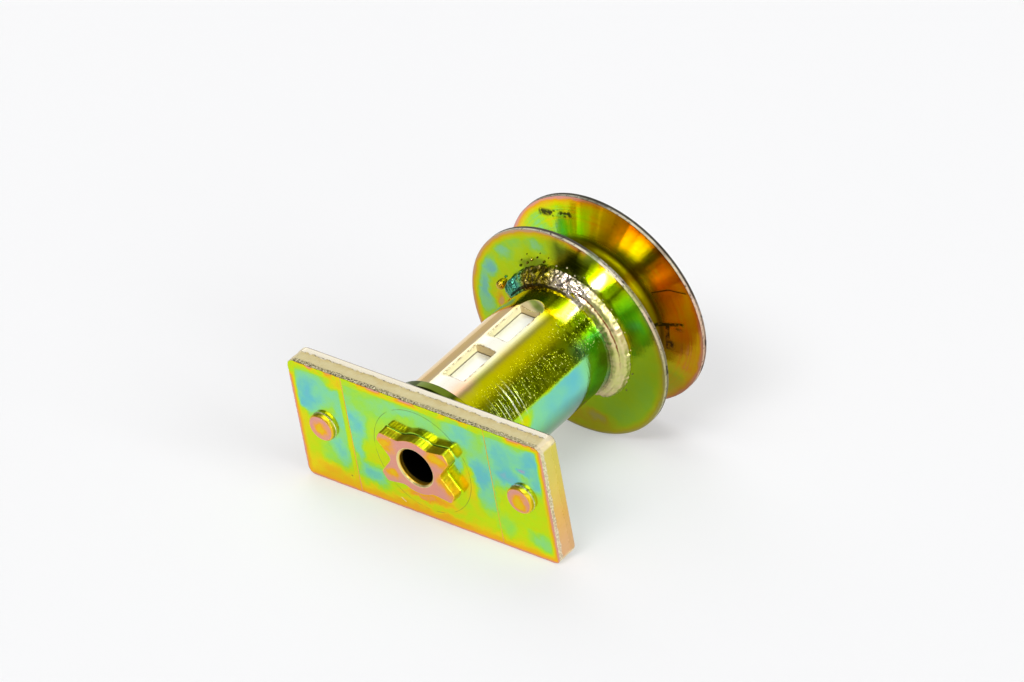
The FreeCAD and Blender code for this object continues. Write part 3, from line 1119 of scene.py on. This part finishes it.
# %% Plate's sheared edges
edge = (1 - spot.facing.maths("ABSOLUTE").rise(0.5, 0.8)) * spot.radius.rise(18.0, 18.2) * (1 - raised)
on_end = spot.turned_to(SIDE).maths("ABSOLUTE").rise(0.6, 0.8)
end_film = (spot.up + spot.bend).rise(-17, 15) * 0.30 + PINK + 0.01
side_film = STRAW - 0.03 + spot.cloud(0.8, 3.0, 2.0) * 0.05
thick = turning(thick, turning(side_film, end_film, on_end), edge)

burr_end = 1.3 + spot.cloud(0.6, 3.0, 8.0) * 0.5
burr = edge * (1 - (spot.along - burr_end).rise(-0.2, 0.2))
torn_end = TORN_BAND_END + spot.cloud(0.9, 4.0, 9.0) * 0.8
torn_band = edge * (1 - (spot.along - torn_end).rise(-0.1, 0.12))
border = edge * (spot.along - torn_end).band(0.0, 0.06, 0.14) * (1 - on_end)
grain = spot.cloud(1.9, 3.0, 6.0, 0.7)
granules = burr * grain.rise(-0.08, -0.22)
# Dark specks over the burr and along the torn band's border.
dark_specks = burr * grain.rise(-0.02, 0.14) * (0.9 - on_end * 0.5) * spot.cloud(0.12, 2.0, 14.0).rise(-0.5, 0.1)
dark_specks = dark_specks + border * spot.cloud(1.6, 2.0, 1.0).rise(-0.1, 0.3) * 0.55
# The plate's corners are painted cream: a painted highlight.
corner = edge * (1 - from_end.rise(1.4, 2.2)) * (1 - from_side.rise(1.4, 2.2))
print("torn band ends at", TORN_BAND_END, "mm")

# %% [markdown]
# What is left is small: the pale mouth of the bolt hole, which is a painted highlight, its dark
# inside, which is painted shade, the scribed circle, one nick and one brown dot. They are laid on
# as coats, in the order in which they would hide each other.

# %% Plate's marks and finish
SCRIBE_R = 15.6

dull_side = torn_band * (1 - on_end)
beside_boss = raised * (1 - on_top)
# The mouth of the bolt hole is painted pale all round: a painted highlight.
mouth_painted_highlight = spot.radius.band(5.75, 0.22, 0.12) * raised * (1 - spot.along.rise(-2.9, -2.5))
# The inside of the bolt hole is painted near black: painted shade.
bore = (1 - spot.radius.rise(5.5, 5.6)) * spot.along.rise(-2.1, -1.3)
scribe = (spot.radius - SCRIBE_R).band(0.0, 0.05, 0.07) * on_flat
scribe = scribe * spot.cloud(0.25, 2.0, 20.0).rise(-0.35, 0.1)
colour = coated(
    film(thick),
    ((196, 184, 130), dull_side * 0.8),
    ((190, 164, 96), dull_side * (spot.along + spot.bend).rise(2.4, 4.6) * 0.5),
    ((190, 184, 168), edge * (1 - torn_band) * (1 - on_end) * 0.9),
    ((246, 202, 60), beside_boss * 0.7),
    ((222, 188, 112), on_end * edge * 0.6),
    ((246, 240, 214), (granules * 0.8 + burr * on_end * 0.55).held()),
    ((48, 46, 16), dark_specks.held()),
    # painted highlight on the bolt hole's mouth
    ((248, 236, 176), mouth_painted_highlight * 0.7),
    # painted highlight on the plate's corners
    ((236, 222, 186), corner * 0.8),
    ((84, 92, 60), scribe * 0.6),
    # painted shade inside the bolt hole
    ((12, 10, 8), bore),
    ((250, 248, 225), spot.line(-9.9, -15.2, -8.6, -16.1, 0.05, 0.08) * on_flat),
    ((140, 110, 60), spot.blot(-26.5, -14, 0.35, 0.3) * on_flat * 0.8),
)
roughness = 0.13 + torn_band * 0.30 + bore * 0.4 + beside_boss * 0.24 + spot.cloud(0.4, 3.0, 7.0) * 0.04
tear_lines = spot.cloud(2.4, 3.0, 4.0, stretched=(1.0, 1.0, 0.25))
height = burr * grain * 0.35 + torn_band * tear_lines * 0.12 + spot.cloud(0.5, 3.0) * 0.006
height = height + spot.cloud(3.0, 2.0, 2.0) * 0.0015 - score * 0.03 - scribe * 0.02
height = height + beside_boss * spot.cloud(1.6, 3.0, 5.0, stretched=(1, 1, 0.12)) * 0.10
height = height + on_end * edge * spot.cloud(1.8, 4.0, 12.0, 0.7) * 0.05
finish_metal(
    plate, material, shader,
    base_color=colour,
    roughness=roughness + corner * 0.2,
    normal=bump(height),
    metallic=1 - (torn_band * 0.5).most(corner * 0.6),
)

# %% [markdown]
# The sleeve was polished, and the pulley's end of it was heated by the weld. Round it the film runs
# from tan on the far side, over a pale strip with the pockets, to olive and a clean teal band low
# on the near side. The pale strip is a painted highlight where the sleeve shows the long box, and
# the underside is painted darker: painted shade. By the pulley a white spot is a painted highlight,
# and a green and a brown patch are painted reflections of the pulley's face. Unlike the plate's
# stains, these run along the shaft, so they are placed by their angle round it.

# %% Sleeve's film
material, shader, start = new_material("sleeve_zinc")
spot = Spot(start)
side = spot.around + spot.bend * 0.8
far_end = spot.along.rise(43, 49)
near_end = 1 - far_end
thick = LIME - 0.02 + spot.cloud(0.12, 3.0, 2.0) * 0.06 - side.rise(44, 64) * 0.08
thick = thick - spot.drum_blot(62, 31, 9, 6, 0.9) * 0.07
teal = AQUA + spot.along.rise(20, 46) * 0.10 + spot.cloud(0.14, 3.0, 4.0) * 0.10
thick = turning(thick, teal, 1 - side.rise(15, 20))
thick = turning(thick, LIME, 1 - side.rise(-75, -45))
lengthwise = spot.streaks(0.55, 0.03, 4.0, 3.0)
green_streaks = lengthwise.rise(-0.10, -0.5)
tan_side = STRAW + 0.01 + lengthwise.rise(0.05, 0.5) * 0.10 + green_streaks * 0.42
on_tan_side = side.rise(94, 112) * (1 - far_end * 0.6)
thick = turning(thick, tan_side, on_tan_side)
thick = turning(thick, LIME + 0.04, side.rise(205, 235))
thick = turning(thick, YELLOW + 0.04, spot.drum_blot(10, 22, 7, 3.0) * 0.9)
thick = turning(thick, AQUA - 0.04, far_end * side.band(10, 18, 14))
collar = (spot.radius - SLEEVE_R).rise(0.1, 0.3)
off_collar = 1 - collar
thick = turning(thick, LIME + 0.06, collar)

# Over the pockets the sleeve is painted pale: a painted highlight where it shows the long box.
pale_strip_painted_highlight = side.rise(62, 80) * (1 - side.rise(102, 116)) * near_end * off_collar
colour = coated(
    film(thick),
    # painted highlight over the pockets
    ((206, 204, 190), pale_strip_painted_highlight),
    ((236, 176, 150), spot.drum_blot(72, 12.5, 9, 4.5, 0.9) * 0.7 * off_collar),
    ((58, 58, 14), collar * 0.9),
    ((238, 194, 66), on_tan_side * off_collar * (1 - green_streaks) * 0.65),
    # The underside is painted darker: painted shade.
    ((84, 118, 46), (1 - side.rise(-26, 0)) * 0.7),
    # A green and a brown patch by the pulley: painted reflections of the pulley's face.
    ((30, 150, 60), spot.drum_blot(22, 54, 8, 3.6) * 0.7),
    ((98, 80, 12), spot.drum_blot(2, 55.5, 15, 4.0) * 0.8),
    # A white spot by the pulley: a painted highlight.
    ((255, 255, 250), spot.around.band(60, 3.0, 5.0) * spot.along.band(54.4, 2.4, 3.0)),
)
print("sleeve film runs from", STRAW, "to", AQUA)

# %% [markdown]
# The punch that made the pockets left pale walls and a brown dashed line round each mouth. A dark
# line at each wall's foot is painted shade, the floor is painted near white as a painted highlight,
# and a cream lip on the left of each pocket is a painted highlight too. All of these keep their
# distance from the pocket's outline, so one formula for that distance places them. It is the one
# that shaped the mesh. A green band across the scoop past the last pocket is a painted reflection.

# %% Sleeve's pockets
KEY_MIDDLE = sum(KEY_STARTS) / 2 + KEY_LENGTH / 2
KEY_APART = (KEY_STARTS[1] - KEY_STARTS[0]) / 2


def outside_slot(spot):
    """How far a place is outside the nearer key's outline. Inside it is negative."""
    turn = math.radians(KEY_TURN)
    across = (spot.x * math.cos(turn) + spot.up * math.sin(turn)).maths("ABSOLUTE")
    lengthwise = ((spot.along - KEY_MIDDLE).maths("ABSOLUTE") - KEY_APART).maths("ABSOLUTE")
    dx = across - (KEY_WIDTH / 2 - KEY_CORNER_R)
    ds = lengthwise - (KEY_LENGTH / 2 - KEY_CORNER_R)
    return distance(dx.most(0.0), ds.most(0.0)) + dx.most(ds).least(0.0) - KEY_CORNER_R


# The bore is painted near black: painted shade.
inside = 1 - spot.radius.rise(13.2, 13.6)
on_strip = spot.angle.band(90, 20, 2) * (1 - inside)
outside = outside_slot(spot)
wall = outside.band(0.0, 0.15, 0.04) * on_strip * (1 - spot.turned_to(UP).rise(0.88, 0.97))
end_wall = wall * spot.turned_to(-ALONG).rise(0.5, 0.8)
# The floor of each pocket is painted near white: a painted highlight.
pocket_floor_painted_highlight = (1 - outside.rise(-0.4, -0.2)) * on_strip
mouth_dashes = outside.band(0.28, 0.10, 0.14) * on_strip * spot.cloud(1.0, 3.0, 5.0).rise(0.0, 0.2)
# A dark line at the foot of each pocket's wall: painted shade in the crease.
foot_line_painted_shade = outside.band(-0.20, 0.05, 0.08) * on_strip
# The lip on the left of each pocket is painted cream: a painted highlight.
lip_painted_highlight = outside.band(0.45, 0.2, 0.35) * on_strip * (1 - spot.x.rise(-1.5, 1.0))
past_pocket = spot.along - KEY_STARTS[-1] - KEY_LENGTH
scoop = (1 - distance(spot.x - 0.6, past_pocket).rise(3.4, 3.8)) * on_strip * past_pocket.rise(0.05, 0.35)
# A green band across the scoop: a painted reflection.
scoop_painted_reflection = (spot.x * 0.4 + (spot.along - 49.6)).band(0.6, 0.3, 1.4)
colour = coated(
    colour,
    ((206, 196, 146), lip_painted_highlight * 0.6),
    ((208, 190, 142), scoop),
    ((112, 134, 34), scoop * scoop_painted_reflection * 0.9),
    ((252, 244, 196), wall),
    ((168, 132, 76), end_wall * 0.7),
    ((132, 96, 40), (mouth_dashes * 0.75).held()),
    ((46, 36, 16), foot_line_painted_shade * 0.9),
    # painted shade inside the bore
    ((14, 12, 9), inside),
)
print("pockets", len(KEY_STARTS), "and", round(KEY_APART * 2, 2), "mm apart")

# %% [markdown]
# The near side sparkles with fine pits, and a few scratches run round it near the foot. Each pit is
# both a bright fleck, which is a painted glint, and a small bump, so that it catches the light from
# other sides too. Flecks alone would lie flat on the mirror, and bumps alone are too small to show
# from this far away.

# %% Sleeve's pits, scratches and finish
scratches = spot.streaks(0.04, 2.0, 3.0, 5.0).rise(0.12, 0.19) * spot.drum_blot(33, 21.0, 15, 4.6, 0.7)
fine_lines = spot.streaks(0.2, 2.2, 4.0, 9.0)
pitted = side.band(39, 14, 11) * spot.radius.rise(16.3, 16.45)
speckle = spot.streaks(1.5, 1.9, 3.0, 21.0)
# Pits with painted glints: each is a bright fleck as well as a bump.
pits_and_painted_glints = speckle.rise(0.19, 0.30) * pitted * spot.cloud(0.22, 3.0, 40.0).rise(-0.3, 0.2)
colour = coated(
    colour,
    ((255, 255, 244), scratches),
    # painted glints on the pits
    ((255, 246, 150), pits_and_painted_glints),
    ((62, 84, 0), pitted * spot.streaks(0.35, 0.5, 4.0, 33.0).rise(0.1, -0.3) * 0.6),
    # A band of angles on the near side is painted brighter yellow: a painted highlight.
    ((120, 134, 0), side.band(54, 6, 8) * near_end * 0.12),
    ((236, 230, 0), side.band(55, 7, 7) * near_end * (1 - scratches) * 0.7),
    # painted highlight on the pocket floors
    ((238, 239, 230), pocket_floor_painted_highlight),
)
roughness = 0.07 + wall * 0.35 + inside * 0.45 + scratches * 0.35 + pits_and_painted_glints * 0.2
roughness = roughness + spot.cloud(0.5, 2.0) * 0.02 + scoop * 0.35 + pocket_floor_painted_highlight * 0.28
height = speckle * (pitted * 0.014 + 0.002) + pits_and_painted_glints * 0.05 + fine_lines * (0.004 + pitted * 0.01)
height = height + wall * spot.cloud(1.5, 3.0, 8.0) * 0.10 + scratches * 0.02
bare = wall * 0.85 + scratches * 0.85 + pits_and_painted_glints * 0.6 + scoop * 0.5 + pocket_floor_painted_highlight * 0.5
finish_metal(
    sleeve, material, shader,
    base_color=colour,
    roughness=roughness,
    normal=bump(height),
    metallic=1 - bare.held(),
)

# %% [markdown]
# The pulley still has the lathe's rings under its film. On the flat face the film is yellow-green
# with teal patches, and in the groove it runs from green through orange to a pink rim. The two
# thin rims are nearly bare, because the film wears off an edge first. Face and groove are stained
# apart, with the same ruler, and the place along the shaft says which of the two shows.

# %% Pulley's film
FACE_STAINS = (
    (-18.0, 20.4, 3.0, 2.6, AQUA), (-23.4, 13.6, 2.6, 3.2, TEAL), (-26.4, 6.0, 2.0, 5.5, TEAL - 0.02),
    (-27, 0, 1.8, 3, AQUA), (-5.5, 26.0, 2.8, 2.0, AQUA - 0.04), (-21.3, 2.6, 1.4, 3.0, PINK + 0.04),
    (-14, 25, 4, 2, GREEN), (23.8, 10.4, 2.5, 2.6, AQUA - 0.05), (21.0, 3.6, 3.4, 2.0, ORANGE + 0.06),
    (20.5, 15.5, 3.6, 3.0, YELLOW + 0.06),
    (24, -14, 5, 8, GREEN - 0.03), (14, -22, 6, 4, GREEN - 0.03), (29, -4, 2.4, 9, LIME - 0.04),
    (4, -27, 7, 3.0, ORANGE + 0.03), (5.2, -25.2, 2.4, 2.0, PINK + 0.02), (-3, -26, 3, 3, ORANGE),
    (13, -30, 7, 2.0, ORANGE), (-16, -20, 6, 6, LIME), (-24, -10, 4, 7, GREEN),
)
GROOVE_STAINS = (
    (-19, 21, 5, 3, LIME + 0.06), (-12, 25, 5, 3, LIME), (-14, 18, 7, 2.4, GREEN), (-8, 21, 3.4, 2.4, AQUA),
    (-3.5, 23, 4, 4, YELLOW + 0.06), (1.5, 26, 3, 3.4, YELLOW - 0.03), (6.5, 26, 3.6, 4, YELLOW - 0.03),
    (11.5, 26, 2.4, 2.6, ORANGE + 0.03), (14.5, 22, 3.4, 5, YELLOW + 0.04), (18.5, 14.5, 3, 3, YELLOW),
    (22.5, 19, 2, 3, ORANGE), (24, 10, 5, 6, ORANGE),
    (24, -4, 6, 8, ORANGE), (19, -18, 6, 8, LIME - 0.03), (26, -12, 3, 6, ORANGE), (0, -24, 12, 6, LIME),
)

material, shader, start = new_material("pulley_zinc")
spot = Spot(start)
in_groove = spot.along.rise(PULLEY_FRONT + RIM_LAND - 0.2, PULLEY_FRONT + RIM_LAND + 0.05)
on_outside = 1 - in_groove
base = LIME - 0.01 + spot.cloud(0.09, 3.0) * 0.10
rings = noise_along(spot.radius, 1.3, 3.0)
spokes = noise_along(spot.angle + 40, 0.09, 4.0)
groove_film = stained(spot, base - 0.05, GROOVE_STAINS) + rings * 0.2 + spokes * 0.20
thick = turning(stained(spot, base, FACE_STAINS), groove_film, in_groove) + spot.cloud(0.6, 3.0, 5.0) * 0.05
inset = PULLEY_R - spot.radius + spot.cloud(0.25, 3.0) * 0.7
thick = turning(PINK + inset.rise(0.2, 1.3) * 0.15, thick, inset.rise(0.9, 3.0))
land = spot.radius.rise(PULLEY_R - 0.16, PULLEY_R - 0.06)
off_land = 1 - land
rim_film = STRAW - 0.02 + spot.cloud(0.5, 3.0, 3.0).rise(0.0, 0.6) * 0.10
near_side = 1 - spot.angle.rise(20, 50)
thick = turning(thick, turning(rim_film, PINK, near_side * 0.6), land)
print("face stains", len(FACE_STAINS), "groove stains", len(GROOVE_STAINS))

# %% [markdown]
# The face and the groove carry painted reflections and shade, laid out in sectors. The pale streak
# on the face is a painted reflection of the sleeve's highlight, and the green one beside it is painted
# pale so that the reflection reads white. The nearly black sector next to them and a dark ring by
# the weld are painted shade. In the groove the bright sectors are painted highlights, and the brown
# and dark ones are painted shade. A sector is a band of angles, and the streak is a band beside a
# line through the shaft.

# %% Pulley's painted reflections and shade
bent_angle = spot.angle + spot.bend
ahead = spot.x * 0.545 + spot.up * 0.839
beside = spot.up * 0.545 - spot.x * 0.839
# The pale streak and the green one beside it are a painted reflection of the sleeve's highlight.
green_streak_painted_reflection = beside.band(3.8, 1.4, 1.6) * ahead.band(26, 4, 4) * on_outside * off_land
pale_streak_painted_reflection = beside.band(0.0, 0.3, 2.2) * ahead.band(22, 2, 9) * on_outside
# The lower part of the face is painted darker: painted shade.
low_face_shade = (1 - (spot.up * 0.8 - spot.x * 0.6).rise(-24, 6)) * on_outside
# The dark sector on the face and the dark ring by the weld are painted shade.
shade = (spot.angle + spot.bend * 0.6).band(79, 6, 11) * (1 - (spot.radius + spot.sway).rise(27, 32))
shade_by_weld = spot.angle.band(112, 8, 8) * (1 - (spot.radius + spot.sway * 0.4).rise(21.6, 23.4))
shade = shade.most(spot.blot(-5.5, 18.5, 4.0, 2.4) * 0.6).most(shade_by_weld * 0.7) * on_outside
# The bottom of the groove is painted dark: painted shade.
root = in_groove * (1 - spot.radius.rise(20.4, 22.4))
left_of_groove = bent_angle.rise(96, 112)
# Bright sectors in the groove are painted highlights.
painted_highlight_sectors = bent_angle.band(74, 5, 5).most(bent_angle.band(34, 2, 3))
colour = coated(
    film(thick),
    ((244, 236, 212), land * (0.75 - near_side * 0.35)),
    ((192, 218, 96), green_streak_painted_reflection * 0.8),
    ((246, 246, 206), pale_streak_painted_reflection * 0.9),
    # painted shade on the lower face
    ((96, 128, 0), low_face_shade * 0.6),
    # the groove painted darker towards the bottom
    ((150, 84, 0), in_groove * (1 - spot.up.rise(-10, 14)) * 0.5),
    # Two more bands of angles on the face are painted darker: painted shade.
    ((70, 120, 0), spot.angle.band(65, 2, 3) * on_outside * 0.6),
    ((150, 160, 0), spot.angle.band(38, 5, 4) * on_outside * 0.6),
    ((16, 36, 0), shade * 0.97),
    # A dark sector in the groove: painted shade.
    ((92, 84, 0), bent_angle.band(88, 3, 7) * in_groove * 0.5),
    # painted shade at the bottom of the groove
    ((74, 64, 0), root * 0.85),
    ((140, 164, 0), on_outside * off_land * 0.32),
    ((116, 96, 0), in_groove * off_land * (1 - left_of_groove) * 0.22),
    # A brown sector between the bright ones: painted shade.
    ((104, 58, 0), bent_angle.band(46, 2.5, 4) * in_groove * 0.5),
    ((254, 204, 10), painted_highlight_sectors * in_groove * (1 - root) * off_land * 0.55),
)
print("streak leans", round(math.degrees(math.atan2(0.839, 0.545))), "degrees")

# %% [markdown]
# Handling left a smudge, a hair of dirt and some dark specks in the groove. They are drawn as soft
# lines with the same ruler as the rest, broken up by noise. The rims have specks of dirt, and the
# back half of each is painted dark, most over the top.

# %% Pulley's dirt and finish
LAND_PITCH = SLEEVE_END - RIM_LAND - PULLEY_FRONT

grain = spot.cloud(1.5, 3.0, 6.0, 0.7)
across_land = (spot.along - PULLEY_FRONT).maths("FLOORED_MODULO", LAND_PITCH)
# The back half of each rim is painted dark, most over the top.
rim_darkening = spot.angle.band(106, 26, 16) + spot.cloud(0.22, 4.0, 22.0).rise(0.05, 0.35) * 0.8
rim_darkening = rim_darkening + spot.angle.band(80, 50, 20) * spot.along.rise(70, 72) * 0.6
back_half = across_land.rise(0.55, 0.85) * (rim_darkening + 0.6)
rim_dirt_and_darkening = land * (grain.rise(0.14, 0.28) * 0.8 + back_half + rim_darkening * 0.35).held() * 0.92

on_rear_flank = spot.along.rise(68, 70) * in_groove
smudge = spot.line(22.5, 1.0, 21.4, -6.7, 0.3, 0.5).most(spot.line(19.3, 1.0, 26.2, 1.4, 0.32, 0.5))
smudge = smudge.most(spot.blot(22.2, -5.6, 0.9, 1.3)).most(spot.blot(25.4, 0.2, 1.0, 1.0) * 0.8)
specks = spot.line(-16.5, 23.2, -6.2, 25.7, 0.35, 0.9) * spot.cloud(0.7, 3.0, 3.0).rise(-0.12, 0.12)
hair = spot.line(19.2, 10.4, 23.6, 11.8, 0.10, 0.15).most(spot.line(23.6, 11.8, 28.2, 11.2, 0.10, 0.15))
marks = (smudge * spot.cloud(0.9, 3.0, 9.0).rise(-0.5, 0.15) + specks + hair).held() * on_rear_flank
roughness = 0.12 + in_groove * 0.06 + root * 0.25 + land * 0.26 + marks * 0.3 + rim_dirt_and_darkening * 0.4
height = land * grain * 0.06 + rings * 0.012 + spot.cloud(2.2, 3.0, 2.0) * 0.004
finish_metal(
    pulley, material, shader,
    base_color=coated(colour, ((22, 18, 8), (marks * 0.9 + rim_dirt_and_darkening).held())),
    roughness=roughness + spot.cloud(0.4, 2.0) * 0.02,
    normal=bump(height, turned_normal(spot, 0.14 + in_groove * 0.10)),
    metallic=1 - land * 0.55,
)

# %% [markdown]
# Weld metal is rough where the arc spat and smooth where it flowed, and the plating followed both.
# The bead starts with a gold ball and a teal lump, is dark and grainy after them, with cream flecks
# that are painted glints, turns pale pink over the top, where a near-white band is a painted
# highlight, and ends as a smooth yellow-green ridge. Dark slag grains lie over the rough part, and
# the corner against the sleeve, the toe on the pulley's face and the bead's end are painted dark:
# painted shade where the bead meets the steel.

# %% Weld's finish
material, shader, start = new_material("weld_zinc")
spot = Spot(start)
side = spot.around + spot.bend
rough_part = side.rise(70, 98)
teal_lump = side.band(137, 9, 7)
gold_ball = spot.angle.rise(148, 151)
dark_part = rough_part * (1 - teal_lump) * (1 - gold_ball)
thick = STRAW + 0.01 + spot.cloud(0.3, 3.0, 3.0) * 0.06
thick = turning(thick, ORANGE + 0.14 + spot.cloud(0.5, 3.0, 8.0) * 0.22, rough_part * 0.9)
thick = turning(thick, AQUA + 0.04, teal_lump * spot.cloud(0.3, 2.0, 9.0).rise(-0.35, 0.1))

grain = spot.cloud(1.0, 5.0, 1.0, 0.68)
greenish = (1 - side.rise(44, 58)) * spot.cloud(0.22, 3.0, 6.0).rise(-0.25, 0.3)
across_bead = spot.radius - SLEEVE_R - (PULLEY_FRONT - spot.along)
seam = (across_bead + spot.cloud(0.8, 2.0, 3.0) * 0.3).band(-0.2, 0.12, 0.3) * grain.rise(-0.3, 0.0)
inner_corner = 1 - (spot.radius - 16.9 + spot.cloud(0.9, 3.0, 5.0) * 0.5).rise(0.0, 0.35)
toe = (spot.radius - 20.2 + spot.cloud(0.9, 3.0, 15.0) * 0.4).rise(-0.05, 0.15) * grain.rise(-0.2, 0.1)
# Dark slag grains, and painted shade in the corner, along the toe and at the bead's end.
slag_and_shade = (inner_corner * side.rise(60, 84) + inner_corner * 0.35).held()
slag_and_shade = slag_and_shade.most(grain.rise(-0.02, 0.18) * dark_part)
slag_and_shade = slag_and_shade.most(toe * (1 - gold_ball) * 0.8).most((1 - side.rise(-65, -57)) * 0.8)
colour = coated(
    film(thick),
    ((128, 116, 20), dark_part * 0.85),
    ((0, 120, 110), teal_lump * 0.55),
    # Cream flecks on the grainy part: painted glints.
    ((240, 220, 140), dark_part * grain.rise(-0.10, -0.26)),
    ((206, 168, 62), gold_ball * 0.85),
    # A near-white band over the top of the bead: a painted highlight.
    ((255, 244, 226), side.band(72, 12, 12) * 0.75),
    ((196, 206, 92), greenish * 0.85),
    ((236, 226, 164), (1 - side.rise(50, 60)) * 0.45),
    ((128, 76, 44), seam * (1 - side.rise(60, 80)) * side.rise(-20, 10)),
    # slag, and painted shade where the bead meets the steel
    ((30, 27, 12), slag_and_shade * 0.9),
)
height = spot.cloud(1.3, 3.0, 1.0, 0.6) * (rough_part * 0.16 + 0.03) + spot.cloud(0.6, 3.0, 2.0) * 0.05
finish_metal(
    weld, material, shader,
    base_color=colour,
    roughness=0.20 + slag_and_shade * 0.3 + (1 - side.rise(52, 66)) * 0.14 + spot.cloud(0.5, 2.0) * 0.04,
    normal=bump(height),
)
